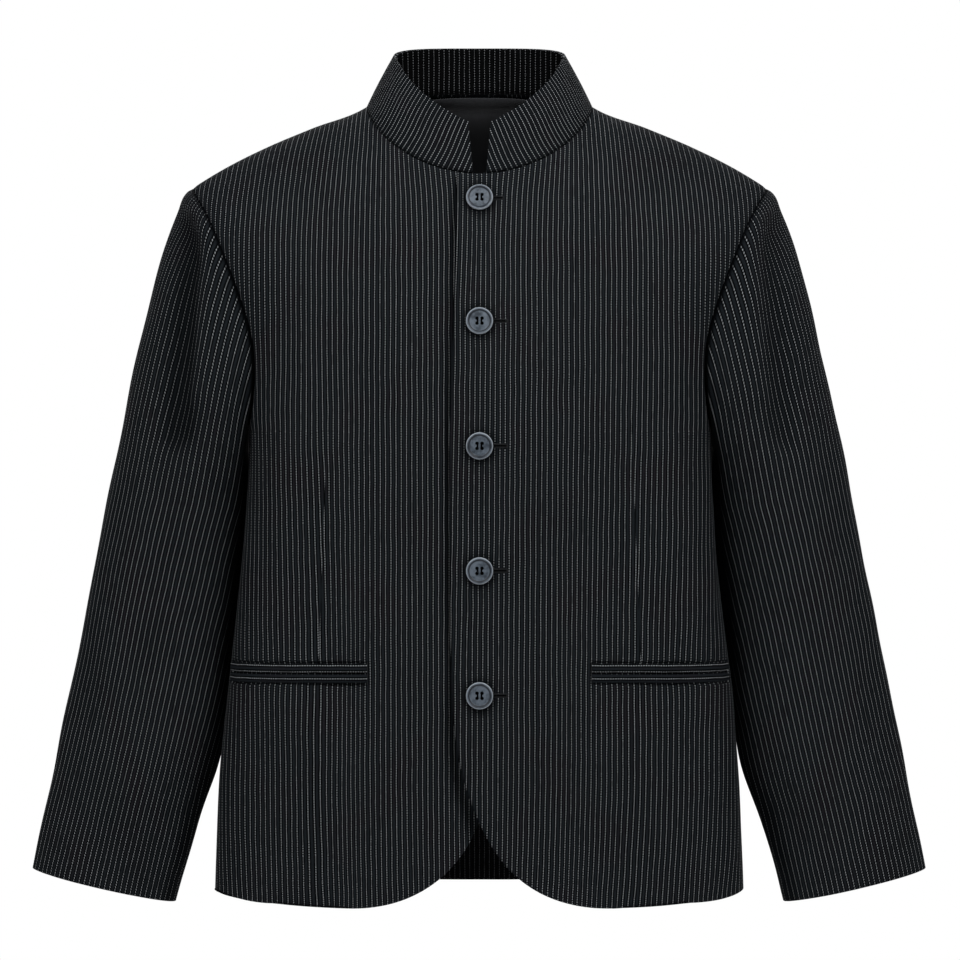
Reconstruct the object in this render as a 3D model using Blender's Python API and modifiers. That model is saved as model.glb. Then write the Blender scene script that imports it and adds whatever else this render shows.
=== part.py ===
"""Pinstripe jacket with a stand collar, filled out as if worn and hollow inside.

Metres, +Z up, the front faces -Y and the wearer's left is +X. The origin lies on the neck's
axis, level with the points where the shoulder seams meet the collar.
"""

import math
from collections import namedtuple

import bmesh
import bpy
import numpy as np
from mathutils import Matrix, Vector

# Walls and seams
CLOTH = 0.002
COLLAR_WALL = 0.003
LINING_WALL = 0.001
WELT_WALL = 0.0012
SEAM_GAP = 0.0003
LAYER_STEP = 0.0024

# Body
HEM_HEIGHT = -0.677
HEM_SWEEP = 0.010
HEM_SWEEP_START = 0.28
UNDERARM_HEIGHT = -0.280
SEAM_PLANE = 0.004
FRONT_SQUARENESS = 3.6
BACK_SQUARENESS = 2.9
FRONT_ROLL = 0.120
BACK_ROLL = 0.095
SHOULDER_TIP = 0.2475

# Front edge: past the centre at the neck and at the last button, and its rounded cutaway
EDGE_AT_NECK = 0.0190
EDGE_CORNER_DROP = 0.0055
EDGE_AT_WAIST = 0.0253
CUTAWAY_WIDTH = 0.138
CUTAWAY_HEIGHT = 0.182
CUTAWAY_ROUNDNESS = 2.3
OVERLAP_FLAT = 0.032
OVERLAP_FADE = 0.055

# Neck seam and collar
NECK_HALF_WIDTH = 0.097
NECK_FRONT_HEIGHT = -0.0625
NECK_BACK_HEIGHT = 0.018
NECK_BACK_POWER = 3
NECK_DROP_POWER = 1.35
COLLAR_TOP_HALF_WIDTH = 0.0718
COLLAR_TOP_FRONT = -0.062
COLLAR_TOP_BACK = 0.056
COLLAR_END_BASE = 0.0055
COLLAR_END_TOP = 0.0095

# Sleeve head: how the sleeve leaves the armhole and how strongly each end of the cap pulls
CAP_AT_TIP = (0.80, 0.0, -0.60)
CAP_AT_UNDERARM = (0.36, 0.0, -0.93)
CAP_FULLNESS = 0.28
CAP_PULL_TIP = 0.30
CAP_PULL_UNDERARM = 0.65
CAP_PULL_RING = 0.90
CAP_ROW_POWER = 1.4
FOLD_START = 0.12

# Pockets: two welts in a slit that starts near the front edge and runs towards the side
POCKET_START = 0.093
POCKET_LENGTH = 0.146
POCKET_TOP = -0.4735
POCKET_SLOPE = 0.0015
UPPER_WELT = 0.0075
LOWER_WELT = 0.0058
WELT_SLIT = 0.0012

# Buttons
BUTTON_DIAMETER = 0.0225
BUTTON_EDGE = 0.0032
BUTTON_DISH = 0.0009
BUTTON_RIM = 0.0026
BUTTON_HOLE_DIAMETER = 0.0020
BUTTON_HOLE_SPACING = 0.0042
BUTTON_FIRST_HEIGHT = -0.085
BUTTON_PITCH = 0.1036
BUTTON_COUNT = 5
BUTTON_CLEARANCE = 0.0004

# Lining shown at the back of the neck
LINING_DROP = -0.170

# Mesh steps
CUTAWAY_ROWS = 10
WAIST_ROWS = 8
UPPER_ROWS = 12
NECK_COLUMNS = 9
SHOULDER_COLUMNS = 7
BACK_NECK_COLUMNS = 6
CAP_ROWS = 8
SLEEVE_ROWS = 10
COLLAR_ROWS = 4
BUTTON_STEPS = 24
HOLE_STEPS = 8
PROFILE_SAMPLES = 1500
MERGE_DISTANCE = 0.00001
SHARP_ANGLE = 40

BodySection = namedtuple("BodySection", "height half_width front_depth back_depth")
BODY = (
    BodySection(-0.677, 0.2260, 0.118, 0.114),
    BodySection(-0.596, 0.2230, 0.117, 0.113),
    BodySection(-0.510, 0.2165, 0.116, 0.109),
    BodySection(-0.424, 0.2065, 0.115, 0.105),
    BodySection(-0.340, 0.2000, 0.117, 0.107),
    BodySection(-0.280, 0.1975, 0.119, 0.112),
    BodySection(-0.200, 0.2070, 0.116, 0.119),
    BodySection(-0.150, 0.2270, 0.110, 0.119),
    BodySection(-0.100, 0.2520, 0.099, 0.114),
    BodySection(-0.060, 0.2760, 0.086, 0.104),
    BodySection(0.000, 0.3000, 0.075, 0.080),
    BodySection(0.060, 0.3100, 0.068, 0.070),
)

ShoulderPoint = namedtuple("ShoulderPoint", "across height")
SHOULDER_LINE = (
    ShoulderPoint(-0.050, 0.040),
    ShoulderPoint(0.000, 0.064),
    ShoulderPoint(0.050, 0.040),
    ShoulderPoint(0.097, 0.000),
    ShoulderPoint(0.144, -0.0185),
    ShoulderPoint(0.181, -0.0340),
    ShoulderPoint(0.221, -0.0540),
    ShoulderPoint(0.2475, -0.0700),
)

ArmholePoint = namedtuple("ArmholePoint", "height front back")
ARMHOLE = (
    ArmholePoint(-0.280, 0.1975, 0.1975),
    ArmholePoint(-0.264, 0.1935, 0.1955),
    ArmholePoint(-0.240, 0.1905, 0.1950),
    ArmholePoint(-0.205, 0.1915, 0.1985),
    ArmholePoint(-0.170, 0.2010, 0.2060),
    ArmholePoint(-0.133, 0.2150, 0.2170),
    ArmholePoint(-0.093, 0.2330, 0.2335),
    ArmholePoint(-0.070, 0.2475, 0.2475),
)

CollarStation = namedtuple("CollarStation", "angle height")
COLLAR_TOP = (
    CollarStation(0, -0.0235),
    CollarStation(22, -0.0085),
    CollarStation(50, 0.0160),
    CollarStation(72, 0.0365),
    CollarStation(90, 0.0435),
    CollarStation(120, 0.0515),
    CollarStation(180, 0.0562),
)

SleeveSection = namedtuple("SleeveSection", "height across forward half_width half_depth tilt")
SLEEVE = (
    SleeveSection(-0.338, 0.2602, -0.004, 0.0590, 0.074, 10.0),
    SleeveSection(-0.424, 0.2717, 0.000, 0.0639, 0.064, 10.5),
    SleeveSection(-0.510, 0.2850, 0.006, 0.0670, 0.056, 11.5),
    SleeveSection(-0.553, 0.2923, 0.011, 0.0684, 0.052, 12.5),
    SleeveSection(-0.596, 0.3036, 0.016, 0.0645, 0.047, 14.0),
    SleeveSection(-0.666, 0.3200, 0.026, 0.0630, 0.038, 13.2),
)

# Broad folds of the sleeve: where round the arm, where along it, half-sizes and height
SleeveFold = namedtuple("SleeveFold", "angle along half_angle half_along rise")
SLEEVE_FOLDS = (
    SleeveFold(62, 0.20, 24, 0.16, -0.0030),
    SleeveFold(105, 0.22, 26, 0.17, 0.0028),
    SleeveFold(120, 0.60, 34, 0.10, -0.0025),
    SleeveFold(235, 0.52, 32, 0.09, -0.0028),
    SleeveFold(290, 0.24, 28, 0.16, 0.0026),
)

Finish = namedtuple("Finish", "colour roughness")
SUITING = Finish((0.014, 0.017, 0.021), 0.85)
NECK_LINING = Finish((0.030, 0.031, 0.034), 0.45)
HORN = Finish((0.075, 0.090, 0.115), 0.35)


def smooth_curve(table, along, column):
    """A smooth function of one column of a table against another."""
    at = np.array([getattr(row, along) for row in table], float)
    value = np.array([getattr(row, column) for row in table], float)
    slope = np.gradient(value, at)

    def curve(x):
        x = np.clip(np.asarray(x, float), at[0], at[-1])
        i = np.clip(np.searchsorted(at, x, side="right") - 1, 0, len(at) - 2)
        span = at[i + 1] - at[i]
        t = (x - at[i]) / span
        start = (1 + 2 * t) * (1 - t) ** 2 * value[i] + t * (1 - t) ** 2 * span * slope[i]
        end = t * t * (3 - 2 * t) * value[i + 1] + t * t * (t - 1) * span * slope[i + 1]
        return start + end

    return curve


def smooth_step(t):
    t = np.clip(t, 0, 1)
    return t * t * (3 - 2 * t)


def unit(vectors):
    return vectors / np.linalg.norm(vectors, axis=-1, keepdims=True)


half_width = smooth_curve(BODY, "height", "half_width")
front_depth = smooth_curve(BODY, "height", "front_depth")
back_depth = smooth_curve(BODY, "height", "back_depth")
shoulder_height = smooth_curve(SHOULDER_LINE, "across", "height")


class QuarterSection:
    """A quarter of a level section, from the centre (share 0) to the side (share 1)."""

    def __init__(self, squareness, depth, roll):
        self.depth = depth
        self.roll = roll
        angle = (1 - np.cos(np.linspace(0, math.pi, PROFILE_SAMPLES))) * math.pi / 4
        self.across = np.sin(angle) ** (2 / squareness)
        self.deep = np.cos(angle) ** (2 / squareness)
        chest = UNDERARM_HEIGHT
        steps = np.hypot(
            np.diff(self.across) * half_width(chest), np.diff(self.deep) * abs(depth(chest))
        )
        run = np.concatenate([[0], np.cumsum(steps)])
        self.share = run / run[-1]

    def share_at(self, x, height):
        """Share of the arc where the section reaches this far across."""
        reach = np.abs(x) / half_width(height)
        return np.sign(x) * np.interp(reach, self.across, self.share)

    def points(self, share, height):
        """Points of the cloth's outer face, rolled over the shoulder at the top."""
        x = np.sign(share) * half_width(height) * np.interp(np.abs(share), self.share, self.across)
        deep = np.interp(np.abs(share), self.share, self.deep)
        ridge = shoulder_height(np.abs(x))
        climb = np.clip((height - ridge + self.roll) / self.roll, 0, 1)
        y = SEAM_PLANE + self.depth(height) * deep * np.sqrt(1 - climb**2)
        return np.stack([x, y, height + 0 * x], axis=-1)


FRONT_SECTION = QuarterSection(FRONT_SQUARENESS, lambda z: -front_depth(z), FRONT_ROLL)
BACK_SECTION = QuarterSection(BACK_SQUARENESS, back_depth, BACK_ROLL)
UPPER_STEPS = (1 - np.cos(np.linspace(0, math.pi, UPPER_ROWS + 1))) / 2


def neck_point(angle):
    """Across and height of the neck seam, from the centre front (0) to the centre back (180)."""
    turn = np.radians(angle)
    front = NECK_FRONT_HEIGHT * np.clip(np.cos(turn), 0, 1) ** NECK_DROP_POWER
    back = np.where(angle > 90, NECK_BACK_HEIGHT * (1 - np.sin(turn) ** NECK_BACK_POWER), 0)
    return NECK_HALF_WIDTH * np.sin(turn), front + back


def cutaway():
    """Rows of the rounded front corner, as heights and how far each starts from the edge."""
    turn = np.linspace(0, math.pi / 2, CUTAWAY_ROWS + 1)
    rise = np.sin(turn) ** (2 / CUTAWAY_ROUNDNESS)
    back = np.cos(turn) ** (2 / CUTAWAY_ROUNDNESS)
    order = np.argsort(-back)
    heights = HEM_HEIGHT + CUTAWAY_HEIGHT * (1 - back[order])
    return heights, CUTAWAY_WIDTH * (1 - rise[order])


def lower_heights():
    """Heights of the level rows, from the hem to the underarm."""
    corner, _ = cutaway()
    straight = np.linspace(corner[-1], UNDERARM_HEIGHT, WAIST_ROWS + 1)
    return np.concatenate([corner, straight[1:]])


def front_edge(height):
    """How far the front edge passes the centre."""
    t = (height - NECK_FRONT_HEIGHT) / (HEM_HEIGHT + CUTAWAY_HEIGHT - NECK_FRONT_HEIGHT)
    return EDGE_AT_NECK + (EDGE_AT_WAIST - EDGE_AT_NECK) * np.clip(t, 0, 1)


def swept(height, share):
    """A level row lifted towards the side near the hem."""
    low = 1 - smooth_step((height - HEM_HEIGHT) / CUTAWAY_HEIGHT)
    side = smooth_step((np.abs(share) - HEM_SWEEP_START) / (1 - HEM_SWEEP_START))
    return height + HEM_SWEEP * low * side


def upper_rows(section, under_share, top_share, top_height, armhole):
    """Shares and heights of the rows from the underarm to the neck and shoulder seams."""
    reach = np.linspace(0, 1, len(under_share)) ** 3
    shares, heights = [], []
    for q in UPPER_STEPS[1:]:
        height = UNDERARM_HEIGHT + q * (top_height - UNDERARM_HEIGHT)
        straight = (1 - q) * under_share + q * top_share
        edge = section.share_at(armhole(height[-1]), height[-1])
        shares.append(straight + (edge - straight[-1]) * reach)
        heights.append(height)
    return shares, heights


def seam_top(section, neck_angles):
    """Shares and heights along the neck seam and then the shoulder seam."""
    neck_x, neck_z = neck_point(neck_angles)
    shoulder_x = np.linspace(NECK_HALF_WIDTH, SHOULDER_TIP, SHOULDER_COLUMNS + 1)[1:]
    x = np.concatenate([neck_x, shoulder_x])
    z = np.concatenate([neck_z, shoulder_height(shoulder_x)])
    return section.share_at(x, z), z


def front_neck_angles():
    edge = -math.degrees(math.asin(EDGE_AT_NECK / NECK_HALF_WIDTH))
    end = math.degrees(math.asin(COLLAR_END_BASE / NECK_HALF_WIDTH))
    return np.concatenate([[edge], np.linspace(end, 90, NECK_COLUMNS)])


def front_points(raised):
    """Grid of the left front's outer face, rows from the hem up, columns from the edge out."""
    top_share, top_height = seam_top(FRONT_SECTION, front_neck_angles())
    top_height[0] -= EDGE_CORNER_DROP
    spread = np.linspace(0, 1, len(top_share))
    corner, start = cutaway()
    shares, heights = [], []
    for height in lower_heights():
        x = np.interp(height, corner, start, right=0) - front_edge(height)
        first = FRONT_SECTION.share_at(x, height)
        shares.append(first + (1 - first) * spread)
        heights.append(swept(height, shares[-1]))
    armhole = smooth_curve(ARMHOLE, "height", "front")
    more = upper_rows(FRONT_SECTION, shares[-1], top_share, top_height, armhole)
    points = FRONT_SECTION.points(np.array(shares + more[0]), np.array(heights + more[1]))
    if raised:
        fade = smooth_step((points[..., 0] - OVERLAP_FLAT) / OVERLAP_FADE)
        points[..., 1] -= LAYER_STEP * (1 - fade)
    return points


def back_points():
    """Grid of the back's outer face, rows from the hem up, columns from right to left."""
    top_share, top_height = seam_top(BACK_SECTION, np.linspace(180, 90, BACK_NECK_COLUMNS + 1))
    spread = np.linspace(0, 1, len(top_share))
    lower = lower_heights()
    shares = [spread] * len(lower)
    heights = [swept(height, spread) for height in lower]
    armhole = smooth_curve(ARMHOLE, "height", "back")
    more = upper_rows(BACK_SECTION, spread, top_share, top_height, armhole)
    half = BACK_SECTION.points(np.array(shares + more[0]), np.array(heights + more[1]))
    return np.concatenate([mirrored(half)[:, :0:-1], half], axis=1)


def mirrored(points):
    return points * np.array([-1, 1, 1])


def outward_normals(points, closed=False):
    """Unit normals of a grid, pointing away from the hollow."""
    if closed:
        around = np.roll(points, -1, axis=1) - np.roll(points, 1, axis=1)
        middle = points.mean(axis=1, keepdims=True)
    else:
        around = np.gradient(points, axis=1)
        middle = points.mean(axis=(0, 1))
    normals = unit(np.cross(around, np.gradient(points, axis=0)))
    return normals * np.sign(np.sum(normals * (points - middle)))


def join_normals(edge, inner, normals, others):
    """Share one normal along a seam wherever the two pieces turn towards each other inside."""
    turning = np.sum(others * (edge - inner), axis=-1, keepdims=True) > 0
    alike = np.sum(others * normals, axis=-1, keepdims=True) > 0
    return np.where(turning & alike, unit(normals + others), normals)


def sleeve_frame(heights):
    """Centre, outward direction and half-sizes of the sleeve's sections."""
    rising = SLEEVE[::-1]
    place = {name: smooth_curve(rising, "height", name)(heights) for name in SleeveSection._fields}
    tilt = np.radians(place["tilt"])
    centre = np.stack([place["across"], SEAM_PLANE - place["forward"], heights], axis=-1)
    outward = np.stack([np.cos(tilt), 0 * tilt, np.sin(tilt)], axis=-1)
    return centre, outward, place["half_width"], place["half_depth"]


def armhole_angles(armhole):
    """Angles round the sleeve of the armhole's points: shoulder 0, front 90, underarm 180."""
    tip = len(armhole) // 2
    steps = np.linalg.norm(np.diff(armhole, axis=0, append=armhole[:1]), axis=1)
    run = np.concatenate([[0], np.cumsum(steps)])
    front = 180 * (1 - run[: tip + 1] / run[tip])
    back = 360 - 180 * (run[tip + 1 : -1] - run[tip]) / (run[-1] - run[tip])
    return np.concatenate([front, back])


def leaving_armhole(angle):
    """Directions in which the sleeve leaves the armhole seam."""
    share = ((1 + np.cos(angle)) / 2)[:, None]
    forward = -CAP_FULLNESS * np.sin(angle)[:, None] * np.array([0, 1, 0])
    return unit(share * np.array(CAP_AT_TIP) + (1 - share) * np.array(CAP_AT_UNDERARM) + forward)


def sleeve_points(armhole):
    """Grid of the left sleeve's outer face, rows from the armhole to the cuff."""
    angle = np.radians(armhole_angles(armhole))
    heights = np.linspace(SLEEVE[0].height, SLEEVE[-1].height, SLEEVE_ROWS + 1)
    centre, outward, wide, deep = sleeve_frame(heights)
    across = (wide[:, None] * np.cos(angle))[..., None] * outward[:, None]
    ahead = (deep[:, None] * np.sin(angle))[..., None] * np.array([0, -1, 0])
    rings = centre[:, None] + across + ahead
    leaving = leaving_armhole(angle)
    first = armhole + SEAM_GAP * leaving
    span = np.linalg.norm(rings[0] - first, axis=1)[:, None]
    arriving = unit(rings[1] - rings[0])
    low = (1 - np.cos(angle)[:, None]) / 2
    start_pull = CAP_PULL_TIP + (CAP_PULL_UNDERARM - CAP_PULL_TIP) * low
    cap = []
    for t in np.linspace(0, 1, CAP_ROWS + 1)[:-1] ** CAP_ROW_POWER:
        start = (1 + 2 * t) * (1 - t) ** 2 * first + t * (1 - t) ** 2 * span * start_pull * leaving
        end = t * t * (3 - 2 * t) * rings[0] + t * t * (t - 1) * span * CAP_PULL_RING * arriving
        cap.append(start + end)
    points = np.concatenate([np.array(cap), rings])
    return points + sleeve_folds(points, np.degrees(angle))


def sleeve_folds(points, angle):
    """Offsets of the sleeve's broad folds, along its normals."""
    along = np.linspace(0, 1, len(points))[:, None]
    offset = np.zeros(points.shape[:2])
    for fold in SLEEVE_FOLDS:
        turn = (angle - fold.angle + 180) % 360 - 180
        near = (turn / fold.half_angle) ** 2 + ((along - fold.along) / fold.half_along) ** 2
        offset += fold.rise * np.exp(-near)
    offset *= smooth_step(along / FOLD_START)
    return offset[..., None] * outward_normals(points, closed=True)


def collar_points(neck_seam):
    """Grid of the collar's outer face, rows up from the neck seam, left end to right end."""
    angles = front_neck_angles()[1:]
    end = math.degrees(math.asin(COLLAR_END_TOP / COLLAR_TOP_HALF_WIDTH))
    front = end + (angles - angles[0]) * (90 - end) / (90 - angles[0])
    left = np.concatenate([front, np.linspace(90, 180, BACK_NECK_COLUMNS + 1)[1:]])
    turn = np.concatenate([left, 360 - left[-2::-1]])
    middle = (COLLAR_TOP_FRONT + COLLAR_TOP_BACK) / 2
    reach = (COLLAR_TOP_BACK - COLLAR_TOP_FRONT) / 2
    top = np.stack(
        [
            COLLAR_TOP_HALF_WIDTH * np.sin(np.radians(turn)),
            middle - reach * np.cos(np.radians(turn)),
            smooth_curve(COLLAR_TOP, "angle", "height")(180 - np.abs(180 - turn)),
        ],
        axis=-1,
    )
    base = neck_seam + SEAM_GAP * unit(top - neck_seam)
    climb = np.linspace(0, 1, COLLAR_ROWS + 1)[:, None, None]
    return base + climb * (top - base)


def make_material(name, finish):
    material = bpy.data.materials.new(name)
    material.use_nodes = True
    shader = material.node_tree.nodes["Principled BSDF"]
    shader.inputs["Base Color"].default_value = (*finish.colour, 1)
    shader.inputs["Roughness"].default_value = finish.roughness
    shader.inputs["Metallic"].default_value = 0
    return material


def in_by_half_gap(edge, inner):
    """A seam edge drawn in by half the seam gap."""
    return edge + unit(inner - edge) * SEAM_GAP / 2


class Pattern:
    """The body panels, sleeve and collar as grids of outer points with their normals.

    Everything is worked out on the wearer's left; the right pieces are its mirror image.
    """

    def __init__(self):
        self.left = front_points(raised=True)
        self.right = front_points(raised=False)
        self.back = back_points()
        self.under = len(lower_heights()) - 1
        self.middle = self.back.shape[1] // 2
        self.left_normals = outward_normals(self.left)
        self.right_normals = outward_normals(self.right)
        self.back_normals = outward_normals(self.back)
        self.join_body()
        self.sleeve = sleeve_points(self.armhole())
        self.sleeve_normals = outward_normals(self.sleeve, closed=True)
        self.join_armhole()
        self.collar = collar_points(self.neck_seam())
        self.collar_normals = outward_normals(self.collar)
        self.join_neck()
        self.open_seams()

    def half_back(self, grid):
        return grid[:, self.middle :]

    def mirror_back(self, grid):
        grid[:, : self.middle] = mirrored(grid[:, : self.middle : -1])

    def join_body(self):
        """Give both sides of the side and shoulder seams one normal."""
        behind = self.half_back(self.back_normals)
        low = slice(0, self.under + 1)
        side = unit(self.left_normals[low, -1] + behind[low, -1])
        top = unit(self.left_normals[-1, NECK_COLUMNS:] + behind[-1, BACK_NECK_COLUMNS:])
        for normals, first in (
            (self.left_normals, NECK_COLUMNS),
            (self.right_normals, NECK_COLUMNS),
            (behind, BACK_NECK_COLUMNS),
        ):
            normals[low, -1] = side
            normals[-1, first:] = top
        self.mirror_back(self.back_normals)

    def armhole(self, column=-1, normals=False):
        """The armhole's points, or normals, up the front and down the back."""
        front = self.left_normals if normals else self.left
        back = self.half_back(self.back_normals if normals else self.back)
        down = back[self.under + 1 : -1, column][::-1]
        return np.concatenate([front[self.under :, column], down])

    def join_armhole(self):
        body = self.armhole(normals=True)
        joined = join_normals(self.armhole(), self.armhole(-2), body, self.sleeve_normals[0])
        shared = np.any(joined != body, axis=-1, keepdims=True)
        self.sleeve_normals[0] = np.where(shared, joined, self.sleeve_normals[0])
        front = joined[: UPPER_ROWS + 1]
        self.left_normals[self.under :, -1] = front
        self.right_normals[self.under :, -1] = front
        behind = self.half_back(self.back_normals)
        behind[self.under + 1 : -1, -1] = joined[UPPER_ROWS + 1 :][::-1]
        behind[self.under, -1] = front[0]
        behind[-1, -1] = front[-1]
        self.mirror_back(self.back_normals)

    def neck_seam(self, row=-1, normals=False):
        """The neck seam's points, or normals, from the collar's left end to its right end."""
        left = self.left_normals if normals else self.left
        right = self.right_normals if normals else self.right
        back = self.back_normals if normals else self.back
        behind = back[row, self.middle - BACK_NECK_COLUMNS + 1 : self.middle + BACK_NECK_COLUMNS]
        ends = slice(1, NECK_COLUMNS + 1)
        return np.concatenate([left[row, ends], behind[::-1], mirrored(right[row, ends])[::-1]])

    def join_neck(self):
        body = self.neck_seam(normals=True)
        joined = join_normals(self.neck_seam(), self.neck_seam(-2), body, self.collar_normals[0])
        shared = np.any(joined != body, axis=-1, keepdims=True)
        self.collar_normals[0] = np.where(shared, joined, self.collar_normals[0])
        ends = slice(1, NECK_COLUMNS + 1)
        self.left_normals[-1, ends] = joined[:NECK_COLUMNS]
        self.right_normals[-1, ends] = mirrored(joined[-NECK_COLUMNS:])[::-1]
        behind = slice(self.middle - BACK_NECK_COLUMNS + 1, self.middle + BACK_NECK_COLUMNS)
        self.back_normals[-1, behind] = joined[NECK_COLUMNS:-NECK_COLUMNS][::-1]

    def open_seams(self):
        """Part the panels along the side and shoulder seams."""
        low = slice(0, self.under + 1)
        behind = self.half_back(self.back)
        for points, first in (
            (self.left, NECK_COLUMNS),
            (self.right, NECK_COLUMNS),
            (behind, BACK_NECK_COLUMNS),
        ):
            side = in_by_half_gap(points[low, -1], points[low, -2])
            top = in_by_half_gap(points[-1, first:], points[-2, first:])
            points[low, -1] = side
            points[-1, first:] = top
        self.mirror_back(self.back)

    def front_at(self, points, normals, column, height):
        """Point and normal on a front's lower grid, between its rows and columns."""
        rows = points[: self.under + 1, 0, 2]
        first = min(math.floor(column), points.shape[1] - 2)
        share = column - first
        place = []
        for grid in (points, normals):
            low = grid[: self.under + 1]
            line = (1 - share) * low[:, first] + share * low[:, first + 1]
            place.append(np.array([np.interp(height, rows, line[:, axis]) for axis in range(3)]))
        return place[0], unit(place[1])

    def welt(self, points, normals, top, width):
        """Grid of a pocket welt's outer face, made from the front's own points."""
        count = np.arange(points.shape[1] - 1)
        row = np.array([self.front_at(points, normals, j, top)[0] for j in count])
        run = np.concatenate([[0], np.cumsum(np.linalg.norm(np.diff(row, axis=0), axis=1))])
        start = np.interp(POCKET_START, row[:, 0], count)
        start_run = np.interp(start, count, run)
        end = np.interp(start_run + POCKET_LENGTH, run, count)
        columns = [start, *range(math.floor(start) + 1, math.ceil(end)), end]
        grid = []
        for height in (top - width, top):
            line = []
            for column in columns:
                fall = POCKET_SLOPE * (np.interp(column, count, run) - start_run) / POCKET_LENGTH
                line.append(self.front_at(points, normals, column, height - fall))
            grid.append(line)
        grid = np.array(grid)
        return grid[:, :, 0] + grid[:, :, 1] * (SEAM_GAP + WELT_WALL), grid[:, :, 1]


def wall_object(name, outer, normals, thickness, material, closed=False):
    """A closed wall from a grid of outer points, as thick as given towards the inside."""
    inner = outer - normals * thickness
    if closed:
        outer = np.concatenate([outer, outer[:, :1]], axis=1)
        inner = np.concatenate([inner, inner[:, :1]], axis=1)
    rows, columns = outer.shape[:2]
    bm = bmesh.new()
    bmesh.ops.create_grid(bm, x_segments=columns - 1, y_segments=rows - 1, size=1)
    copy = bmesh.ops.extrude_face_region(bm, geom=bm.faces[:], use_keep_orig=True)
    inside = {v for v in copy["geom"] if isinstance(v, bmesh.types.BMVert)}
    for v in bm.verts:
        j = round((v.co.x + 1) / 2 * (columns - 1))
        i = round((v.co.y + 1) / 2 * (rows - 1))
        v.co = inner[i, j] if v in inside else outer[i, j]
    if closed:
        join_tube(bm)
    bmesh.ops.recalc_face_normals(bm, faces=bm.faces[:])
    mesh = bpy.data.meshes.new(name)
    bm.to_mesh(mesh)
    bm.free()
    return add_object(name, mesh, material)


def join_tube(bm):
    """Weld the first and last columns of a tube and drop the wall between them."""
    bmesh.ops.remove_doubles(bm, verts=bm.verts[:], dist=MERGE_DISTANCE)
    between = [f for f in bm.faces if sum(len(e.link_faces) > 2 for e in f.edges) >= 2]
    bmesh.ops.delete(bm, geom=between, context="FACES")


def add_object(name, mesh, material):
    mesh.polygons.foreach_set("use_smooth", [True] * len(mesh.polygons))
    mesh.set_sharp_from_angle(angle=math.radians(SHARP_ANGLE))
    mesh.materials.clear()
    mesh.materials.append(material)
    thing = bpy.data.objects.new(name, mesh)
    JACKET.objects.link(thing)
    return thing


def button_mesh():
    """A turned four-hole button with a raised rim, its back at the origin and facing +Z."""
    radius = BUTTON_DIAMETER / 2
    soft = BUTTON_RIM / 3
    dish = BUTTON_EDGE - BUTTON_DISH
    profile = (
        (0, 0),
        (radius - soft, 0),
        (radius, soft),
        (radius, BUTTON_EDGE - soft),
        (radius - soft, BUTTON_EDGE),
        (radius - BUTTON_RIM + soft, BUTTON_EDGE),
        (radius - BUTTON_RIM, dish),
        (0, dish),
    )
    mesh = bpy.data.meshes.new("button_profile")
    edges = [(i, i + 1) for i in range(len(profile) - 1)]
    mesh.from_pydata([(r, 0, z) for r, z in profile], edges, [])
    turned = bpy.data.objects.new("button_turned", mesh)
    CUTTERS.objects.link(turned)
    screw = turned.modifiers.new("turn", "SCREW")
    screw.steps = screw.render_steps = BUTTON_STEPS
    screw.use_merge_vertices = True
    screw.merge_threshold = MERGE_DISTANCE
    drill = bpy.data.objects.new("button_drill", drill_mesh())
    CUTTERS.objects.link(drill)
    cut = turned.modifiers.new("holes", "BOOLEAN")
    cut.object = drill
    cut.operation = "DIFFERENCE"
    cut.solver = "EXACT"
    for helper in (turned, drill):
        helper.hide_render = True
        helper.display_type = "WIRE"
    seen = turned.evaluated_get(bpy.context.evaluated_depsgraph_get())
    return bpy.data.meshes.new_from_object(seen)


def drill_mesh():
    """Four rods through a button, one for each thread hole."""
    bm = bmesh.new()
    half = BUTTON_HOLE_SPACING / 2
    for x in (-half, half):
        for y in (-half, half):
            bmesh.ops.create_cone(
                bm,
                cap_ends=True,
                segments=HOLE_STEPS,
                radius1=BUTTON_HOLE_DIAMETER / 2,
                radius2=BUTTON_HOLE_DIAMETER / 2,
                depth=BUTTON_EDGE * 3,
                matrix=Matrix.Translation((x, y, 0)),
            )
    mesh = bpy.data.meshes.new("button_drill")
    bm.to_mesh(mesh)
    bm.free()
    return mesh


def add_buttons(material):
    """Set the buttons down the centre of the top layer, square to the cloth."""
    mesh = button_mesh()
    step = BUTTON_DIAMETER / 2
    for count in range(BUTTON_COUNT):
        height = BUTTON_FIRST_HEIGHT - BUTTON_PITCH * count
        levels = np.array([height - step, height, height + step])
        low, middle, high = FRONT_SECTION.points(np.zeros(3), levels)
        slope = Vector(high - low)
        normal = Vector((1, 0, 0)).cross(slope).normalized()
        button = add_object(f"button_{count + 1}", mesh.copy(), material)
        button.location = Vector(middle) + Vector((0, -LAYER_STEP, 0)) + normal * BUTTON_CLEARANCE
        button.rotation_euler = Vector((0, 0, 1)).rotation_difference(normal).to_euler()


def add_welts(pattern, material):
    """Lay two welts on each front."""
    lower_top = POCKET_TOP - UPPER_WELT - WELT_SLIT
    for place, top, width in (("upper", POCKET_TOP, UPPER_WELT), ("lower", lower_top, LOWER_WELT)):
        outer, normals = pattern.welt(pattern.left, pattern.left_normals, top, width)
        wall_object(f"pocket_left_{place}_welt", outer, normals, WELT_WALL, material)
        outer, normals = pattern.welt(pattern.right, pattern.right_normals, top, width)
        name = f"pocket_right_{place}_welt"
        wall_object(name, mirrored(outer), mirrored(normals), WELT_WALL, material)


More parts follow.
